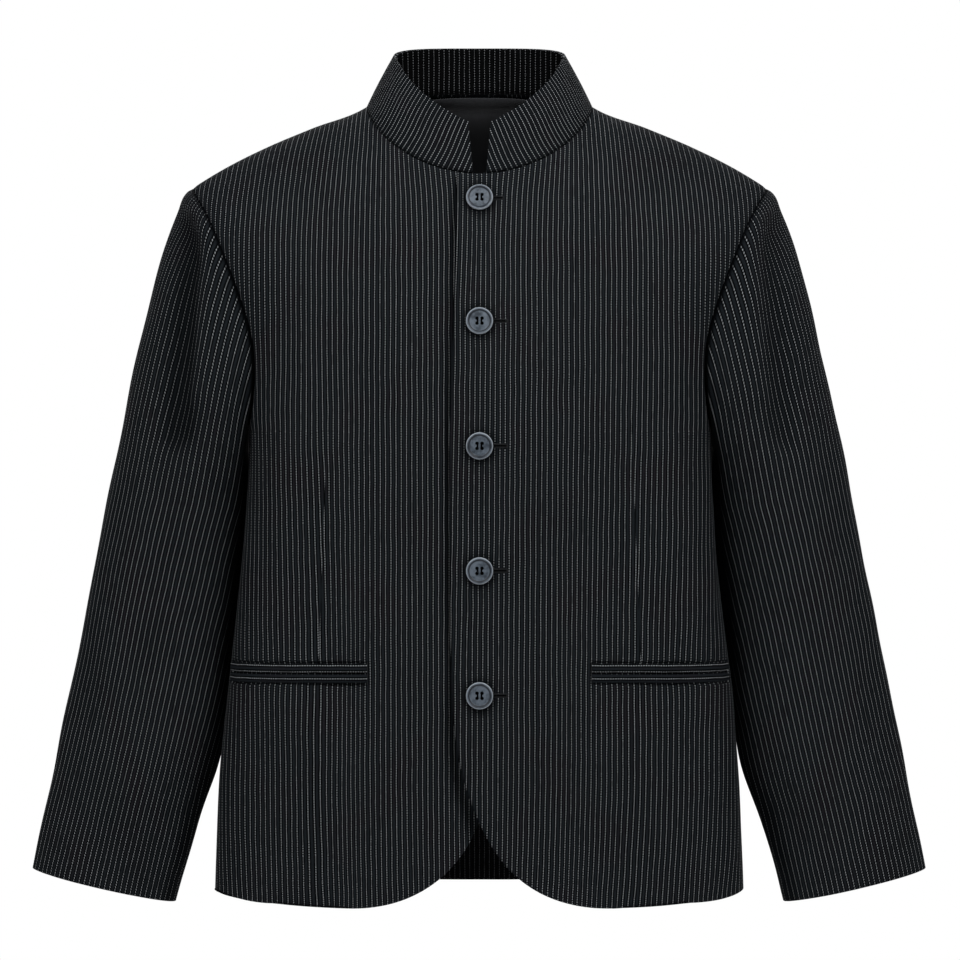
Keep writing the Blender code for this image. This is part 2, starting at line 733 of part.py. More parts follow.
def add_lining(pattern, material):
    """Line the back inside the neck, one seam gap behind the cloth."""
    reach = BACK_NECK_COLUMNS - 1
    columns = slice(pattern.middle - reach, pattern.middle + reach + 1)
    rows = pattern.back[:, pattern.middle, 2] >= LINING_DROP
    normals = pattern.back_normals[rows, columns]
    outer = pattern.back[rows, columns] - normals * (CLOTH + SEAM_GAP)
    outer[-1] = in_by_half_gap(outer[-1], outer[-2])
    wall_object("neck_lining", outer, normals, LINING_WALL, material)


def build():
    cloth = make_material("suiting", SUITING)
    horn = make_material("button_horn", HORN)
    lining = make_material("lining", NECK_LINING)
    pattern = Pattern()
    wall_object("front_left", pattern.left, pattern.left_normals, CLOTH, cloth)
    right, right_normals = mirrored(pattern.right), mirrored(pattern.right_normals)
    wall_object("front_right", right, right_normals, CLOTH, cloth)
    wall_object("back", pattern.back, pattern.back_normals, CLOTH, cloth)
    sleeve, normals = pattern.sleeve, pattern.sleeve_normals
    wall_object("sleeve_left", sleeve, normals, CLOTH, cloth, closed=True)
    wall_object("sleeve_right", mirrored(sleeve), mirrored(normals), CLOTH, cloth, closed=True)
    wall_object("collar", pattern.collar, pattern.collar_normals, COLLAR_WALL, cloth)
    add_welts(pattern, cloth)
    add_lining(pattern, lining)
    add_buttons(horn)


for leftover in list(bpy.data.objects):
    bpy.data.objects.remove(leftover, do_unlink=True)
JACKET = bpy.data.collections.new("pinstripe_jacket")
CUTTERS = bpy.data.collections.new("cutters")
bpy.context.scene.collection.children.link(JACKET)
bpy.context.scene.collection.children.link(CUTTERS)
build()
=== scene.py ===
"""Pinstripe jacket: striped cloth, satin lining, horn buttons and soft studio light.

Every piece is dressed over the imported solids, in metres: +Z is up, the front faces -Y and the
wearer's left is +X. The cloth repeats the solids' form on a finer grid and adds its folds.
"""

import logging
import math
from dataclasses import dataclass, field
from enum import Enum
from typing import Callable, Optional, Union

import bmesh
import bpy
import numpy as np
from mathutils import Matrix, Vector


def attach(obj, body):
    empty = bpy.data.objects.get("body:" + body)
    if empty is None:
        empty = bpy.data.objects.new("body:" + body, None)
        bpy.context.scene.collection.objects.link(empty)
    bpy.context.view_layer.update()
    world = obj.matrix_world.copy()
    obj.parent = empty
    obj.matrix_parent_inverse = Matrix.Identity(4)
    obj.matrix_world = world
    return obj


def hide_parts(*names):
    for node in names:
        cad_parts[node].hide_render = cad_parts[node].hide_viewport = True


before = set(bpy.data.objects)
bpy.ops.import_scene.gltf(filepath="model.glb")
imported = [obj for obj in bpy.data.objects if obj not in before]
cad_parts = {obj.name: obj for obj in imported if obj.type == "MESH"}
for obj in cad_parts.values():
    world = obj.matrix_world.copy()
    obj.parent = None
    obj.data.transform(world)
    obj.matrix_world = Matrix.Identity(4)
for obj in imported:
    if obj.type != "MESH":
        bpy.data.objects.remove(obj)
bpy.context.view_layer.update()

LOG = logging.getLogger("jacket")
ROOT = "root"
UV_NAME = "cloth"
DART_NAME = "dart"
RADIUS_NAME = "radius"

Array = np.ndarray
Curve = Callable[[Array], Array]
Table = tuple[tuple[float, ...], ...]
Colour = tuple[float, float, float]
Pair = tuple[float, float]
Socket = bpy.types.NodeSocket


class Side(Enum):
    """The wearer's side, with the sign of its X."""

    LEFT = 1
    RIGHT = -1


class Facing(Enum):
    """Which way a fold looks, with the sign of its Y."""

    FRONT = -1
    BACK = 1


def smooth_curve(table: Table, column: int) -> Curve:
    """Fit a smooth curve to one column of a table.

    Args:
        table: Rows whose first column rises.
        column: The column to follow.

    Returns:
        A function of the first column, held level past both ends.
    """
    at = np.array([row[0] for row in table], float)
    value = np.array([row[column] for row in table], float)
    slope = np.gradient(value, at)

    def curve(x: Array) -> Array:
        """Value of the column at x."""
        x = np.clip(np.asarray(x, float), at[0], at[-1])
        i = np.clip(np.searchsorted(at, x, side="right") - 1, 0, len(at) - 2)
        span = at[i + 1] - at[i]
        t = (x - at[i]) / span
        start = (1 + 2 * t) * (1 - t) ** 2 * value[i] + t * (1 - t) ** 2 * span * slope[i]
        end = t * t * (3 - 2 * t) * value[i + 1] + t * t * (t - 1) * span * slope[i + 1]
        return start + end

    return curve


def smooth_step(t: Array) -> Array:
    """Rise smoothly from 0 to 1 as t does."""
    t = np.clip(t, 0, 1)
    return t * t * (3 - 2 * t)


def bell(distance: Array, width: float) -> Array:
    """Fall smoothly from 1 at no distance towards 0 past a width."""
    return np.exp(-((distance / width) ** 2))


def blend(ends: Pair, share: Array) -> Array:
    """Go from the first of two values to the second by a share."""
    return ends[0] + (ends[1] - ends[0]) * share


def ramp(value: Array, start: float, length: float) -> Array:
    """Rise smoothly from 0 at a start to 1 a length further."""
    return smooth_step((value - start) / length)


def unit(vectors: Array) -> Array:
    """Vectors of length one in the same directions."""
    return vectors / np.linalg.norm(vectors, axis=-1, keepdims=True)


def mirrored(points: Array) -> Array:
    """Points on the wearer's other side."""
    return points * np.array([-1, 1, 1])


def run_along(points: Array, axis: int) -> Array:
    """Measure a grid's lines.

    Args:
        points: Grid of points.
        axis: 0 to follow the columns, 1 to follow the rows.

    Returns:
        Length of each line from its first point.
    """
    steps = np.linalg.norm(np.diff(points, axis=axis), axis=-1)
    start = np.zeros_like(np.take(steps, [0], axis=axis))
    return np.concatenate([start, np.cumsum(steps, axis=axis)], axis=axis)


def run_to_end(points: Array, axis: int) -> Array:
    """Length of each of a grid's lines to its last point, by columns (0) or rows (1)."""
    run = run_along(points, axis)
    return np.take(run, [-1], axis=axis) - run


def climb_along(points: Array) -> Array:
    """Height of each point along its column, as if the column were hung straight."""
    return run_along(points * np.array([0, 1, 1]), 0) + points[:1, :, 2]


def outward_normals(points: Array, closed: bool = False) -> Array:
    """Work out a grid's normals.

    Args:
        points: Grid of points.
        closed: True for a tube whose last column repeats its first.

    Returns:
        Unit normals that point away from the hollow.
    """
    if closed:
        ring = points[:, :-1]
        around = np.roll(ring, -1, axis=1) - np.roll(ring, 1, axis=1)
        around = np.concatenate([around, around[:, :1]], axis=1)
        middle = ring.mean(axis=1, keepdims=True)
    else:
        around = np.gradient(points, axis=1)
        middle = points.mean(axis=(0, 1))
    normals = unit(np.cross(around, np.gradient(points, axis=0)))
    return normals * np.sign(np.sum(normals * (points - middle)))


def undulation(points: Array, rise: float, seed: int) -> Array:
    """Uneven, very soft waves of cloth.

    Args:
        points: Grid of points.
        rise: Usual height of the waves.
        seed: Number that settles the waves.

    Returns:
        Height of the waves at each point.
    """
    draw = np.random.default_rng(seed)
    total = np.zeros(points.shape[:-1])
    count = 14
    for _ in range(count):
        length = draw.uniform(0.045, 0.16)
        way = unit(draw.normal(size=3) * np.array([1.0, 0.6, 0.45]))
        total += np.sin(points @ way * 2 * math.pi / length + draw.uniform(0, 2 * math.pi))
    return rise * total / math.sqrt(count / 2)


@dataclass(frozen=True)
class Fold:
    """A soft ridge or trough along a line seen from the front or the back.

    Attributes:
        start: Across and height where it begins.
        end: Across and height where it ends.
        width: Half of its width.
        rise: Its height, below zero for a trough.
        facing: The side that shows it.
    """

    start: Pair
    end: Pair
    width: float
    rise: float
    facing: Facing = Facing.FRONT

    def relief(self, points: Array, normals: Array) -> Array:
        """Measure the fold on a grid.

        Args:
            points: Grid of points.
            normals: Its outward normals.

        Returns:
            Height of the fold at each point.
        """
        flat = points[..., [0, 2]]
        start = np.array(self.start)
        way = np.array(self.end) - start
        t = np.clip((flat - start) @ way / (way @ way), 0, 1)
        away = np.linalg.norm(flat - start - t[..., None] * way, axis=-1)
        shown = smooth_step(normals[..., 1] * self.facing.value / 0.4)
        return self.rise * shown * bell(away, self.width)


def fold_relief(folds: tuple[Fold, ...], points: Array) -> Array:
    """Total height of some folds at each point of a grid."""
    normals = outward_normals(points)
    return sum((fold.relief(points, normals) for fold in folds), np.zeros(points.shape[:-1]))


class Nodes:
    """Adds shader nodes to a material and joins them."""

    def __init__(self, name: str) -> None:
        """Start a material with its shader.

        Args:
            name: The material's name.
        """
        self.material = bpy.data.materials.new(name)
        self.material.use_nodes = True
        self.tree = self.material.node_tree
        self.shader = self.tree.nodes["Principled BSDF"]

    def add(self, kind: str, **settings: object) -> bpy.types.Node:
        """Add a node.

        Args:
            kind: The node's type after ShaderNode.
            settings: Values of its own properties.

        Returns:
            The node.
        """
        node = self.tree.nodes.new("ShaderNode" + kind)
        for key, value in settings.items():
            setattr(node, key, value)
        return node

    def feed(self, target: Socket, value: Union[Socket, float, Colour]) -> None:
        """Give a socket a link or a value."""
        if isinstance(value, bpy.types.NodeSocket):
            self.tree.links.new(value, target)
        else:
            target.default_value = value

    def math(self, operation: str, *values: Union[Socket, float]) -> Socket:
        """Add a Math node.

        Args:
            operation: What it does.
            values: Its inputs in order.

        Returns:
            Its result.
        """
        node = self.add("Math", operation=operation)
        for target, value in zip(node.inputs, values):
            self.feed(target, value)
        return node.outputs[0]

    def between(self, value: Socket, low: float, high: float, start: float, end: float) -> Socket:
        """Map a value smoothly from low..high to start..end."""
        node = self.add("MapRange", interpolation_type="SMOOTHSTEP")
        for target, number in zip(node.inputs, (value, low, high, start, end)):
            self.feed(target, number)
        return node.outputs[0]

    def noise(self, vector: Socket, scale: float, detail: float) -> Socket:
        """Value of a noise texture at a place."""
        node = self.add("TexNoise")
        self.feed(node.inputs["Vector"], vector)
        self.feed(node.inputs["Scale"], scale)
        self.feed(node.inputs["Detail"], detail)
        return node.outputs[0]

    def mix(self, share: Socket, first: object, second: object) -> Socket:
        """Mix two colours by a share."""
        node = self.add("Mix", data_type="RGBA")
        self.feed(node.inputs[0], share)
        for target, value in ((node.inputs[6], first), (node.inputs[7], second)):
            self.feed(target, value if isinstance(value, bpy.types.NodeSocket) else (*value, 1))
        return node.outputs[2]

    def place(self) -> Socket:
        """Where a point lies on its object."""
        return self.add("TexCoord").outputs["Object"]

    def parts(self, vector: Socket) -> list[Socket]:
        """A vector's three parts."""
        node = self.add("SeparateXYZ")
        self.feed(node.inputs[0], vector)
        return list(node.outputs)

    def joined(self, first: Socket, second: Socket) -> Socket:
        """A vector of two parts."""
        node = self.add("CombineXYZ")
        self.feed(node.inputs[0], first)
        self.feed(node.inputs[1], second)
        return node.outputs[0]

    def stretched(self, vector: Socket, scale: Colour) -> Socket:
        """A place with its axes scaled."""
        node = self.add("Mapping")
        self.feed(node.inputs["Vector"], vector)
        self.feed(node.inputs["Scale"], scale)
        return node.outputs[0]

    def bump(self, height: Socket, strength: float, distance: float) -> None:
        """Raise the shader's surface by a height."""
        node = self.add("Bump")
        self.feed(node.inputs["Strength"], strength)
        self.feed(node.inputs["Distance"], distance)
        self.feed(node.inputs["Height"], height)
        self.feed(self.shader.inputs["Normal"], node.outputs[0])

    def dress(self, **values: Union[Socket, float, tuple[float, ...]]) -> bpy.types.Material:
        """Set the shader's own sockets.

        Args:
            values: Socket names, with _ for a space, and what each gets.

        Returns:
            The finished material.
        """
        for key, value in values.items():
            self.feed(self.shader.inputs[key.replace("_", " ")], value)
        return self.material


@dataclass(frozen=True)
class Suiting:
    """Dark worsted with pinstripes that are dotted in places, drawn on the cloth's own coordinates,
    darkened by the shade painted on each piece.
    """

    name: str = "suiting_cloth"
    pitch: float = 0.00443
    stripe_edge: float = 0.00044
    stripe_core: float = 0.00014
    dot_pitch: float = 0.00215
    burst: float = 75.0
    twill_pitch: float = 0.0007
    deep: Colour = (0.0004, 0.0006, 0.0009)
    ground: Colour = (0.0078, 0.0096, 0.0114)
    cast: Colour = (0.0084, 0.0080, 0.0098)
    stripe: Colour = (0.176, 0.185, 0.194)
    upright: bool = False
    roughness: Pair = (0.80, 0.92)

    def make(self) -> bpy.types.Material:
        """Build the material.

        Returns:
            The material.
        """
        nodes = Nodes(self.name)
        uv = self.seen(nodes) if self.upright else nodes.add("UVMap", uv_map=UV_NAME).outputs[0]
        across, along, _ = nodes.parts(uv)
        across, painted_shade = self.past_dart(nodes, across)
        sway = nodes.math("SUBTRACT", nodes.noise(uv, 34, 1), 0.5)
        across = nodes.math("MULTIPLY_ADD", sway, 0.0011, across)
        away = nodes.math("PINGPONG", across, self.pitch / 2)
        line = nodes.between(away, self.stripe_edge, self.stripe_core, 0, 1)
        strength = nodes.math("MULTIPLY", line, self.yarn(nodes, across, along))
        twill = nodes.math("PINGPONG", nodes.math("ADD", across, along), self.twill_pitch / 2)
        twill = nodes.math("DIVIDE", twill, self.twill_pitch / 2)
        grain = nodes.noise(nodes.stretched(uv, (2600, 700, 1)), 1, 2)
        shade = nodes.math("MULTIPLY_ADD", twill, 0.30, nodes.math("MULTIPLY", grain, 1.1))
        shade = nodes.math("MULTIPLY", shade, nodes.between(away, 0.0008, 0.0018, 0.03, 1.30))
        cloud = nodes.between(nodes.noise(uv, 21, 3), 0.46, 0.70, 0, 1)
        ground = nodes.mix(shade, self.deep, nodes.mix(cloud, self.ground, self.cast))
        height = nodes.math("MULTIPLY_ADD", line, 0.5, nodes.math("ADD", twill, grain))
        nodes.bump(height, 0.35, 0.00025)
        return nodes.dress(
            # Painted shade: the shade each piece carries darkens the cloth's colour towards the deep
            # ground.
            Base_Color=nodes.mix(painted_shade, nodes.mix(strength, ground, self.stripe), self.deep),
            Roughness=nodes.between(grain, 0.3, 0.7, *self.roughness),
            Specular_IOR_Level=0.02,
            Sheen_Weight=0.003,
            Sheen_Roughness=0.45,
            Sheen_Tint=(0.80, 0.86, 1.0, 1.0),
        )

    def seen(self, nodes: Nodes) -> Socket:
        """Coordinates across and up as seen from the front, for stripes that stay upright."""
        x, _, z = nodes.parts(nodes.place())
        return nodes.joined(x, z)

    def past_dart(self, nodes: Nodes, across: Socket) -> tuple[Socket, Socket]:
        """Shift the stripes by what the dart takes up, on its far side.

        Args:
            nodes: The material's nodes.
            across: Place across the cloth.

        Returns:
            Place across the uncut cloth, and the painted shade that darkens its colour by seams and
            creases.
        """
        dart = nodes.add("Attribute", attribute_name=DART_NAME).outputs["Vector"]
        past, taken, painted_shade = nodes.parts(dart)
        beyond = nodes.math("GREATER_THAN", past, 0.0)
        return nodes.math("MULTIPLY_ADD", beyond, taken, across), painted_shade

    def yarn(self, nodes: Nodes, across: Socket, along: Socket) -> Socket:
        """Draw a stripe's yarn: plain stretches and stretches of dots.

        Args:
            nodes: The material's nodes.
            across: Place across the cloth.
            along: Place along the cloth.

        Returns:
            How strongly the yarn shows.
        """
        count = nodes.math("ROUND", nodes.math("DIVIDE", across, self.pitch))
        chance = nodes.add("TexWhiteNoise", noise_dimensions="1D")
        nodes.feed(chance.inputs["W"], count)
        chance = chance.outputs["Value"]
        stretch = nodes.math("MULTIPLY", along, self.burst)
        spot = nodes.joined(nodes.math("MULTIPLY", count, 7.31), stretch)
        dotted = nodes.between(nodes.noise(spot, 1, 1), 0.35, 0.46, 0, 1)
        start = nodes.math("MULTIPLY", chance, 7)
        phase = nodes.math("MULTIPLY_ADD", along, 1 / self.dot_pitch, start)
        dot = nodes.between(nodes.math("PINGPONG", phase, 0.5), 0.20, 0.30, 0, 1.85)
        plain = nodes.math("MULTIPLY_ADD", chance, 0.24, 0.34)
        more = nodes.math("MULTIPLY", dotted, nodes.math("SUBTRACT", dot, plain))
        return nodes.math("ADD", plain, more)


@dataclass(frozen=True)
class Satin:
    """Dark grey lining satin with a fine lengthwise float, painted light at the top fading to painted
    shade lower down.
    """

    colour: Colour = (0.034, 0.035, 0.038)
    # The dark end of the weave's float and clouds, and of the painted shade lower down.
    shade: Colour = (0.0035, 0.0037, 0.0042)
    roughness: Pair = (0.36, 0.50)

    def make(self) -> bpy.types.Material:
        """Build the material."""
        nodes = Nodes("lining_satin")
        place = nodes.place()
        float_yarn = nodes.noise(nodes.stretched(place, (3200, 400, 160)), 1, 2)
        cloud = nodes.noise(place, 26, 2)
        share = nodes.math("MULTIPLY_ADD", float_yarn, 0.5, nodes.math("MULTIPLY", cloud, 0.6))
        # Painted light and shade: lighter at the top of the lining, darker lower down where less light
        # reaches into the neck.
        painted_light_by_height = nodes.between(nodes.parts(place)[2], -0.022, 0.016, 0.16, 1.45)
        share = nodes.math("MULTIPLY", share, painted_light_by_height)
        nodes.bump(float_yarn, 0.15, 0.0002)
        return nodes.dress(
            Base_Color=nodes.mix(share, self.shade, self.colour),
            Roughness=nodes.between(cloud, 0.3, 0.7, *self.roughness),
            Specular_IOR_Level=0.12,
            Sheen_Weight=0.01,
        )


@dataclass(frozen=True)
class Horn:
    """Slate-blue polished horn with clouds and fine turning marks, a painted highlight round the rim
    and painted shade in the groove.
    """

    light: Colour = (0.071, 0.088, 0.110)
    dark: Colour = (0.016, 0.022, 0.030)
    painted_rim_highlight: Colour = (0.235, 0.262, 0.296)
    painted_groove_shade: Colour = (0.006, 0.008, 0.012)
    roughness: Pair = (0.36, 0.50)

    def make(self) -> bpy.types.Material:
        """Build the material."""
        nodes = Nodes("button_horn_polished")
        place = nodes.place()
        cloud = nodes.noise(nodes.stretched(place, (150, 150, 210)), 1, 3)
        streak = nodes.noise(nodes.stretched(place, (900, 900, 220)), 1, 2)
        share = nodes.math("MULTIPLY_ADD", cloud, 0.75, nodes.math("MULTIPLY", streak, 0.25))
        colour = nodes.mix(nodes.between(share, 0.34, 0.64, 0, 1), self.dark, self.light)
        radius = nodes.add("Attribute", attribute_name=RADIUS_NAME).outputs["Fac"]
        # Painted highlight on the rim where the rounded edge would catch the light, and painted shade
        # in the groove inside it.
        colour = nodes.mix(nodes.between(radius, 0.90, 0.97, 0, 0.9), colour, self.painted_rim_highlight)
        away = nodes.math("ABSOLUTE", nodes.math("SUBTRACT", radius, 0.80))
        colour = nodes.mix(nodes.between(away, 0.08, 0.02, 0, 1), colour, self.painted_groove_shade)
        nodes.bump(streak, 0.08, 0.0003)
        return nodes.dress(
            Base_Color=colour,
            Roughness=nodes.between(cloud, 0.3, 0.7, *self.roughness),
            Specular_IOR_Level=0.25,
            Coat_Weight=0.05,
            Coat_Roughness=0.25,
        )


@dataclass(frozen=True)
class Thread:
    """Dark sewing thread with its twist."""

    name: str
    light: Colour = (0.0060, 0.0066, 0.0076)
    dark: Colour = (0.0015, 0.0018, 0.0023)
    shine: float = 0.15

    def make(self) -> bpy.types.Material:
        """Build the material."""
        nodes = Nodes(self.name)
        place = nodes.place()
        twist = nodes.add("TexWave", bands_direction="DIAGONAL")
        nodes.feed(twist.inputs["Vector"], place)
        nodes.feed(twist.inputs["Scale"], 900.0)
        nodes.feed(twist.inputs["Distortion"], 2.0)
        share = nodes.math("MULTIPLY", nodes.noise(place, 2500, 1), 0.5)
        share = nodes.math("MULTIPLY_ADD", twist.outputs["Fac"], 0.5, share)
        nodes.bump(share, 0.3, 0.0002)
        return nodes.dress(
            Base_Color=nodes.mix(share, self.dark, self.light),
            Roughness=nodes.between(share, 0.2, 0.8, 0.65, 0.85),
            Specular_IOR_Level=self.shine,
        )


@dataclass
class ClothGrid:
    """A cloth piece as a grid of outer points with its stripe coordinates.

    Attributes:
        points: Rows and columns of points.
        across: Place across the stripes.
        along: Place along the stripes.
        dart: Distance past the dart, what it takes up there and the shade painted by seams and
            creases, if any.
        closed: True for a tube whose last column repeats its first.
        wall: Thickness of the shell.
    """

    points: Array
    across: Array
    along: Array
    dart: Optional[Array] = None
    closed: bool = False
    wall: float = 0.0018

    def paint_shade(self, shade: Array) -> None:
        """Paint shade into the cloth by its seams and in its creases, from 0 to 1."""
        if self.dart is None:
            self.dart = np.stack([-np.ones(shade.shape), 0 * shade, 0 * shade], axis=-1)
        self.dart[..., 2] = np.clip(shade, 0, 1)

    def raise_by(self, relief: Array) -> None:
        """Move every point out along its normal."""
        self.points = self.points + outward_normals(self.points, self.closed) * relief[..., None]

    def mirror(self) -> "ClothGrid":
        """The same piece on the wearer's other side."""
        return ClothGrid(
            mirrored(self.points), self.across, self.along, self.dart, self.closed, self.wall
        )

    def turn_in(self, axis: int, last: bool, depth: float, past: float) -> None:
        """Add a seam allowance along one edge, turned to the inside.

        Args:
            axis: 0 for an edge row and 1 for an edge column.
            last: True for the last row or column.
            depth: How far it lies inside.
            past: How far it goes past the edge.
        """
        edge, inner = (-1, -2) if last else (0, 1)

        def joined(grid: Array, more: Array) -> Array:
            """The grid with one more row or column."""
            return np.concatenate([grid, more] if last else [more, grid], axis=axis)

        normals = outward_normals(self.points, self.closed)
        outer = np.take(self.points, [edge], axis=axis)
        way = unit(outer - np.take(self.points, [inner], axis=axis))
        extra = outer + way * past - np.take(normals, [edge], axis=axis) * depth
        self.points = joined(self.points, extra)
        self.across = joined(self.across, np.take(self.across, [edge], axis=axis))
        self.along = joined(self.along, np.take(self.along, [edge], axis=axis))
        if self.dart is not None:
            self.dart = joined(self.dart, np.take(self.dart, [edge], axis=axis))

    def make(
        self, name: str, material: bpy.types.Material, inside: Optional[bpy.types.Material] = None
    ) -> bpy.types.Object:
        """Build the piece.

        Args:
            name: Its name.
            material: Its finish.
            inside: Finish of its inner face, if that differs.

        Returns:
            The object, a thin shell towards the inside.
        """
        rows, columns = self.points.shape[:2]
        bm = bmesh.new()
        bmesh.ops.create_grid(bm, x_segments=columns - 1, y_segments=rows - 1, size=1)
        mesh = mesh_from(bm, name)
        self.place_points(mesh)
        if self.closed:
            weld(mesh)
        piece = add_piece(name, mesh, material)
        shell = piece.modifiers.new("wall", "SOLIDIFY")
        shell.thickness = self.wall
        shell.offset = -1
        if inside:
            mesh.materials.append(inside)
            shell.material_offset = 1
        soften(piece, self.wall * 0.36)
        return piece

    def place_points(self, mesh: bpy.types.Mesh) -> None:
        """Move a flat grid's points into place and give it its coordinates.

        Args:
            mesh: A square grid of side 2 with the same rows and columns.
        """
        rows, columns = self.points.shape[:2]
        flat = np.empty(len(mesh.vertices) * 3)
        mesh.vertices.foreach_get("co", flat)
        flat = flat.reshape(-1, 3)
        j = np.rint((flat[:, 0] + 1) / 2 * (columns - 1)).astype(int)
        i = np.rint((flat[:, 1] + 1) / 2 * (rows - 1)).astype(int)
        mesh.vertices.foreach_set("co", self.points[i, j].ravel())
        corner = np.empty(len(mesh.loops), int)
        mesh.loops.foreach_get("vertex_index", corner)
        uv = np.stack([self.across, self.along], axis=-1)
        mesh.uv_layers.new(name=UV_NAME).uv.foreach_set("vector", uv[i[corner], j[corner]].ravel())
        if self.dart is not None:
            layer = mesh.attributes.new(DART_NAME, "FLOAT_VECTOR", "POINT")
            layer.data.foreach_set("vector", self.dart[i, j].ravel())
        turn = np.cross(np.gradient(self.points, axis=1), np.gradient(self.points, axis=0))
        if np.sum(turn * outward_normals(self.points, self.closed)) < 0:
            mesh.flip_normals()


def mesh_from(bm: bmesh.types.BMesh, name: str) -> bpy.types.Mesh:
    """Turn a bmesh into a named mesh and free it."""
    mesh = bpy.data.meshes.new(name)
    bm.to_mesh(mesh)
    bm.free()
    return mesh


def link(name: str, data: bpy.types.ID) -> bpy.types.Object:
    """Add an object with its data to the scene."""
    thing = bpy.data.objects.new(name, data)
    bpy.context.scene.collection.objects.link(thing)
    return thing


def as_seen(thing: bpy.types.Object) -> bpy.types.Mesh:
    """A mesh of an object as it shows, with its modifiers."""
    seen = thing.evaluated_get(bpy.context.evaluated_depsgraph_get())
    return bpy.data.meshes.new_from_object(seen)


def weld(mesh: bpy.types.Mesh) -> None:
    """Merge a mesh's doubled points."""
    bm = bmesh.new()
    bm.from_mesh(mesh)
    bmesh.ops.remove_doubles(bm, verts=bm.verts[:], dist=1e-6)
    bm.to_mesh(mesh)
    bm.free()


def soften(piece: bpy.types.Object, width: float) -> None:
    """Round a piece's sharp edges."""
    edge = piece.modifiers.new("edge", "BEVEL")
    edge.width = width
    edge.segments = 2
    edge.profile = 0.5
    edge.limit_method = "ANGLE"
    edge.angle_limit = math.radians(50)


def add_piece(
    name: str, mesh: bpy.types.Mesh, material: bpy.types.Material
) -> bpy.types.Object:
    """Add a smooth object to the scene, riding on the jacket's one body.

    Args:
        name: The piece's name.
        mesh: Its mesh, already in place.
        material: Its finish.

    Returns:
        The object.
    """
    mesh.polygons.foreach_set("use_smooth", np.ones(len(mesh.polygons), bool))
    mesh.materials.clear()
    mesh.materials.append(material)
    piece = link(name, mesh)
    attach(piece, ROOT)
    LOG.info("%s: %d faces", name, len(mesh.polygons))
    return piece


def cord_mesh(name: str, paths: list[Array], radius: float, sides: int = 2) -> bpy.types.Mesh:
    """Make round strands along some paths.

    Args:
        name: The mesh's name.
        paths: Points of each strand, with a fourth column for a thicker one.
        radius: Radius of the strands.
        sides: Fineness of their section.

    Returns:
        One mesh of all the strands.
    """
    curve = bpy.data.curves.new(name, "CURVE")
    curve.dimensions = "3D"
    curve.bevel_depth = radius
    curve.bevel_resolution = sides
    curve.use_fill_caps = True
    for path in paths:
        spline = curve.splines.new("POLY")
        spline.points.add(len(path) - 1)
        spline.points.foreach_set("co", np.c_[path[:, :3], np.ones(len(path))].ravel())
        if path.shape[1] == 4:
            spline.points.foreach_set("radius", path[:, 3].copy())
    holder = link(name, curve)
    mesh = as_seen(holder)
    bpy.data.objects.remove(holder, do_unlink=True)
    mesh.name = name
    return mesh


class QuarterSection:
    """A quarter of a level section, from the centre (share 0) to the side (share 1)."""

    def __init__(self, trunk: "Trunk", squareness: float, depth: Curve, roll: float) -> None:
        """Work out the quarter's outline.

        Args:
            trunk: The trunk that it belongs to.
            squareness: Power of its rounded outline.
            depth: Depth at a height, with its sign.
            roll: Height over which the cloth rolls over the shoulder.
        """
        self.trunk = trunk
        self.depth = depth
        self.roll = roll
        angle = (1 - np.cos(np.linspace(0, math.pi, 1500))) * math.pi / 4
        self.across = np.sin(angle) ** (2 / squareness)
        self.deep = np.cos(angle) ** (2 / squareness)
        run = self.run_at(trunk.underarm)
        self.share = run / run[-1]
        self.levels = np.linspace(trunk.hem_height, 0.06, 90)
        self.runs = [self.run_at(level) for level in self.levels]
        self.flat_runs = [self.run_at(level, trunk.flatness) for level in self.levels]

    def run_at(self, height: float, flatness: float = 1.0) -> Array:
        """Length along the outline at a height, with its depth reduced."""
        wide = np.diff(self.across) * self.trunk.half_width(height)
        deep = np.diff(self.deep) * self.depth(height) * flatness
        return np.concatenate([[0], np.cumsum(np.hypot(wide, deep))])

    def share_at(self, x: Array, height: Array) -> Array:
        """Share of the outline where it reaches this far across."""
        reach = np.abs(x) / self.trunk.half_width(height)
        return np.sign(x) * np.interp(reach, self.across, self.share)

    def arc_at(self, x: Array, height: Array, flat: bool = False) -> Array:
        """Length round the unrolled trunk from the centre to a place.

        Args:
            x: Place across.
            height: Its height.
            flat: True to measure it on the trunk pressed flatter.

        Returns:
            The length, with the sign of x.
        """
        x, height = np.broadcast_arrays(np.asarray(x, float), np.asarray(height, float))
        reach = np.abs(x) / self.trunk.half_width(height)
        runs = self.flat_runs if flat else self.runs
        arcs = np.stack([np.interp(reach, self.across, run) for run in runs])
        level = np.interp(height, self.levels, np.arange(len(self.levels)))
        low = np.minimum(level.astype(int), len(self.levels) - 2)
        first = np.take_along_axis(arcs, low[None], 0)[0]
        second = np.take_along_axis(arcs, low[None] + 1, 0)[0]
        return np.sign(x) * (first + (second - first) * (level - low))

    def points(self, share: Array, height: Array) -> Array:
        """Points of the cloth's outer face, rolled over the shoulder at the top."""
        x = np.interp(np.abs(share), self.share, self.across)
        x = np.sign(share) * self.trunk.half_width(height) * x
        deep = np.interp(np.abs(share), self.share, self.deep)
        ridge = self.trunk.shoulder_height(np.abs(x))
        climb = np.clip((height - ridge + self.roll) / self.roll, 0, 1)
        y = self.trunk.seam_plane + self.depth(height) * deep * np.sqrt(1 - climb**2)
        return np.stack([x, y, height + 0 * x], axis=-1)


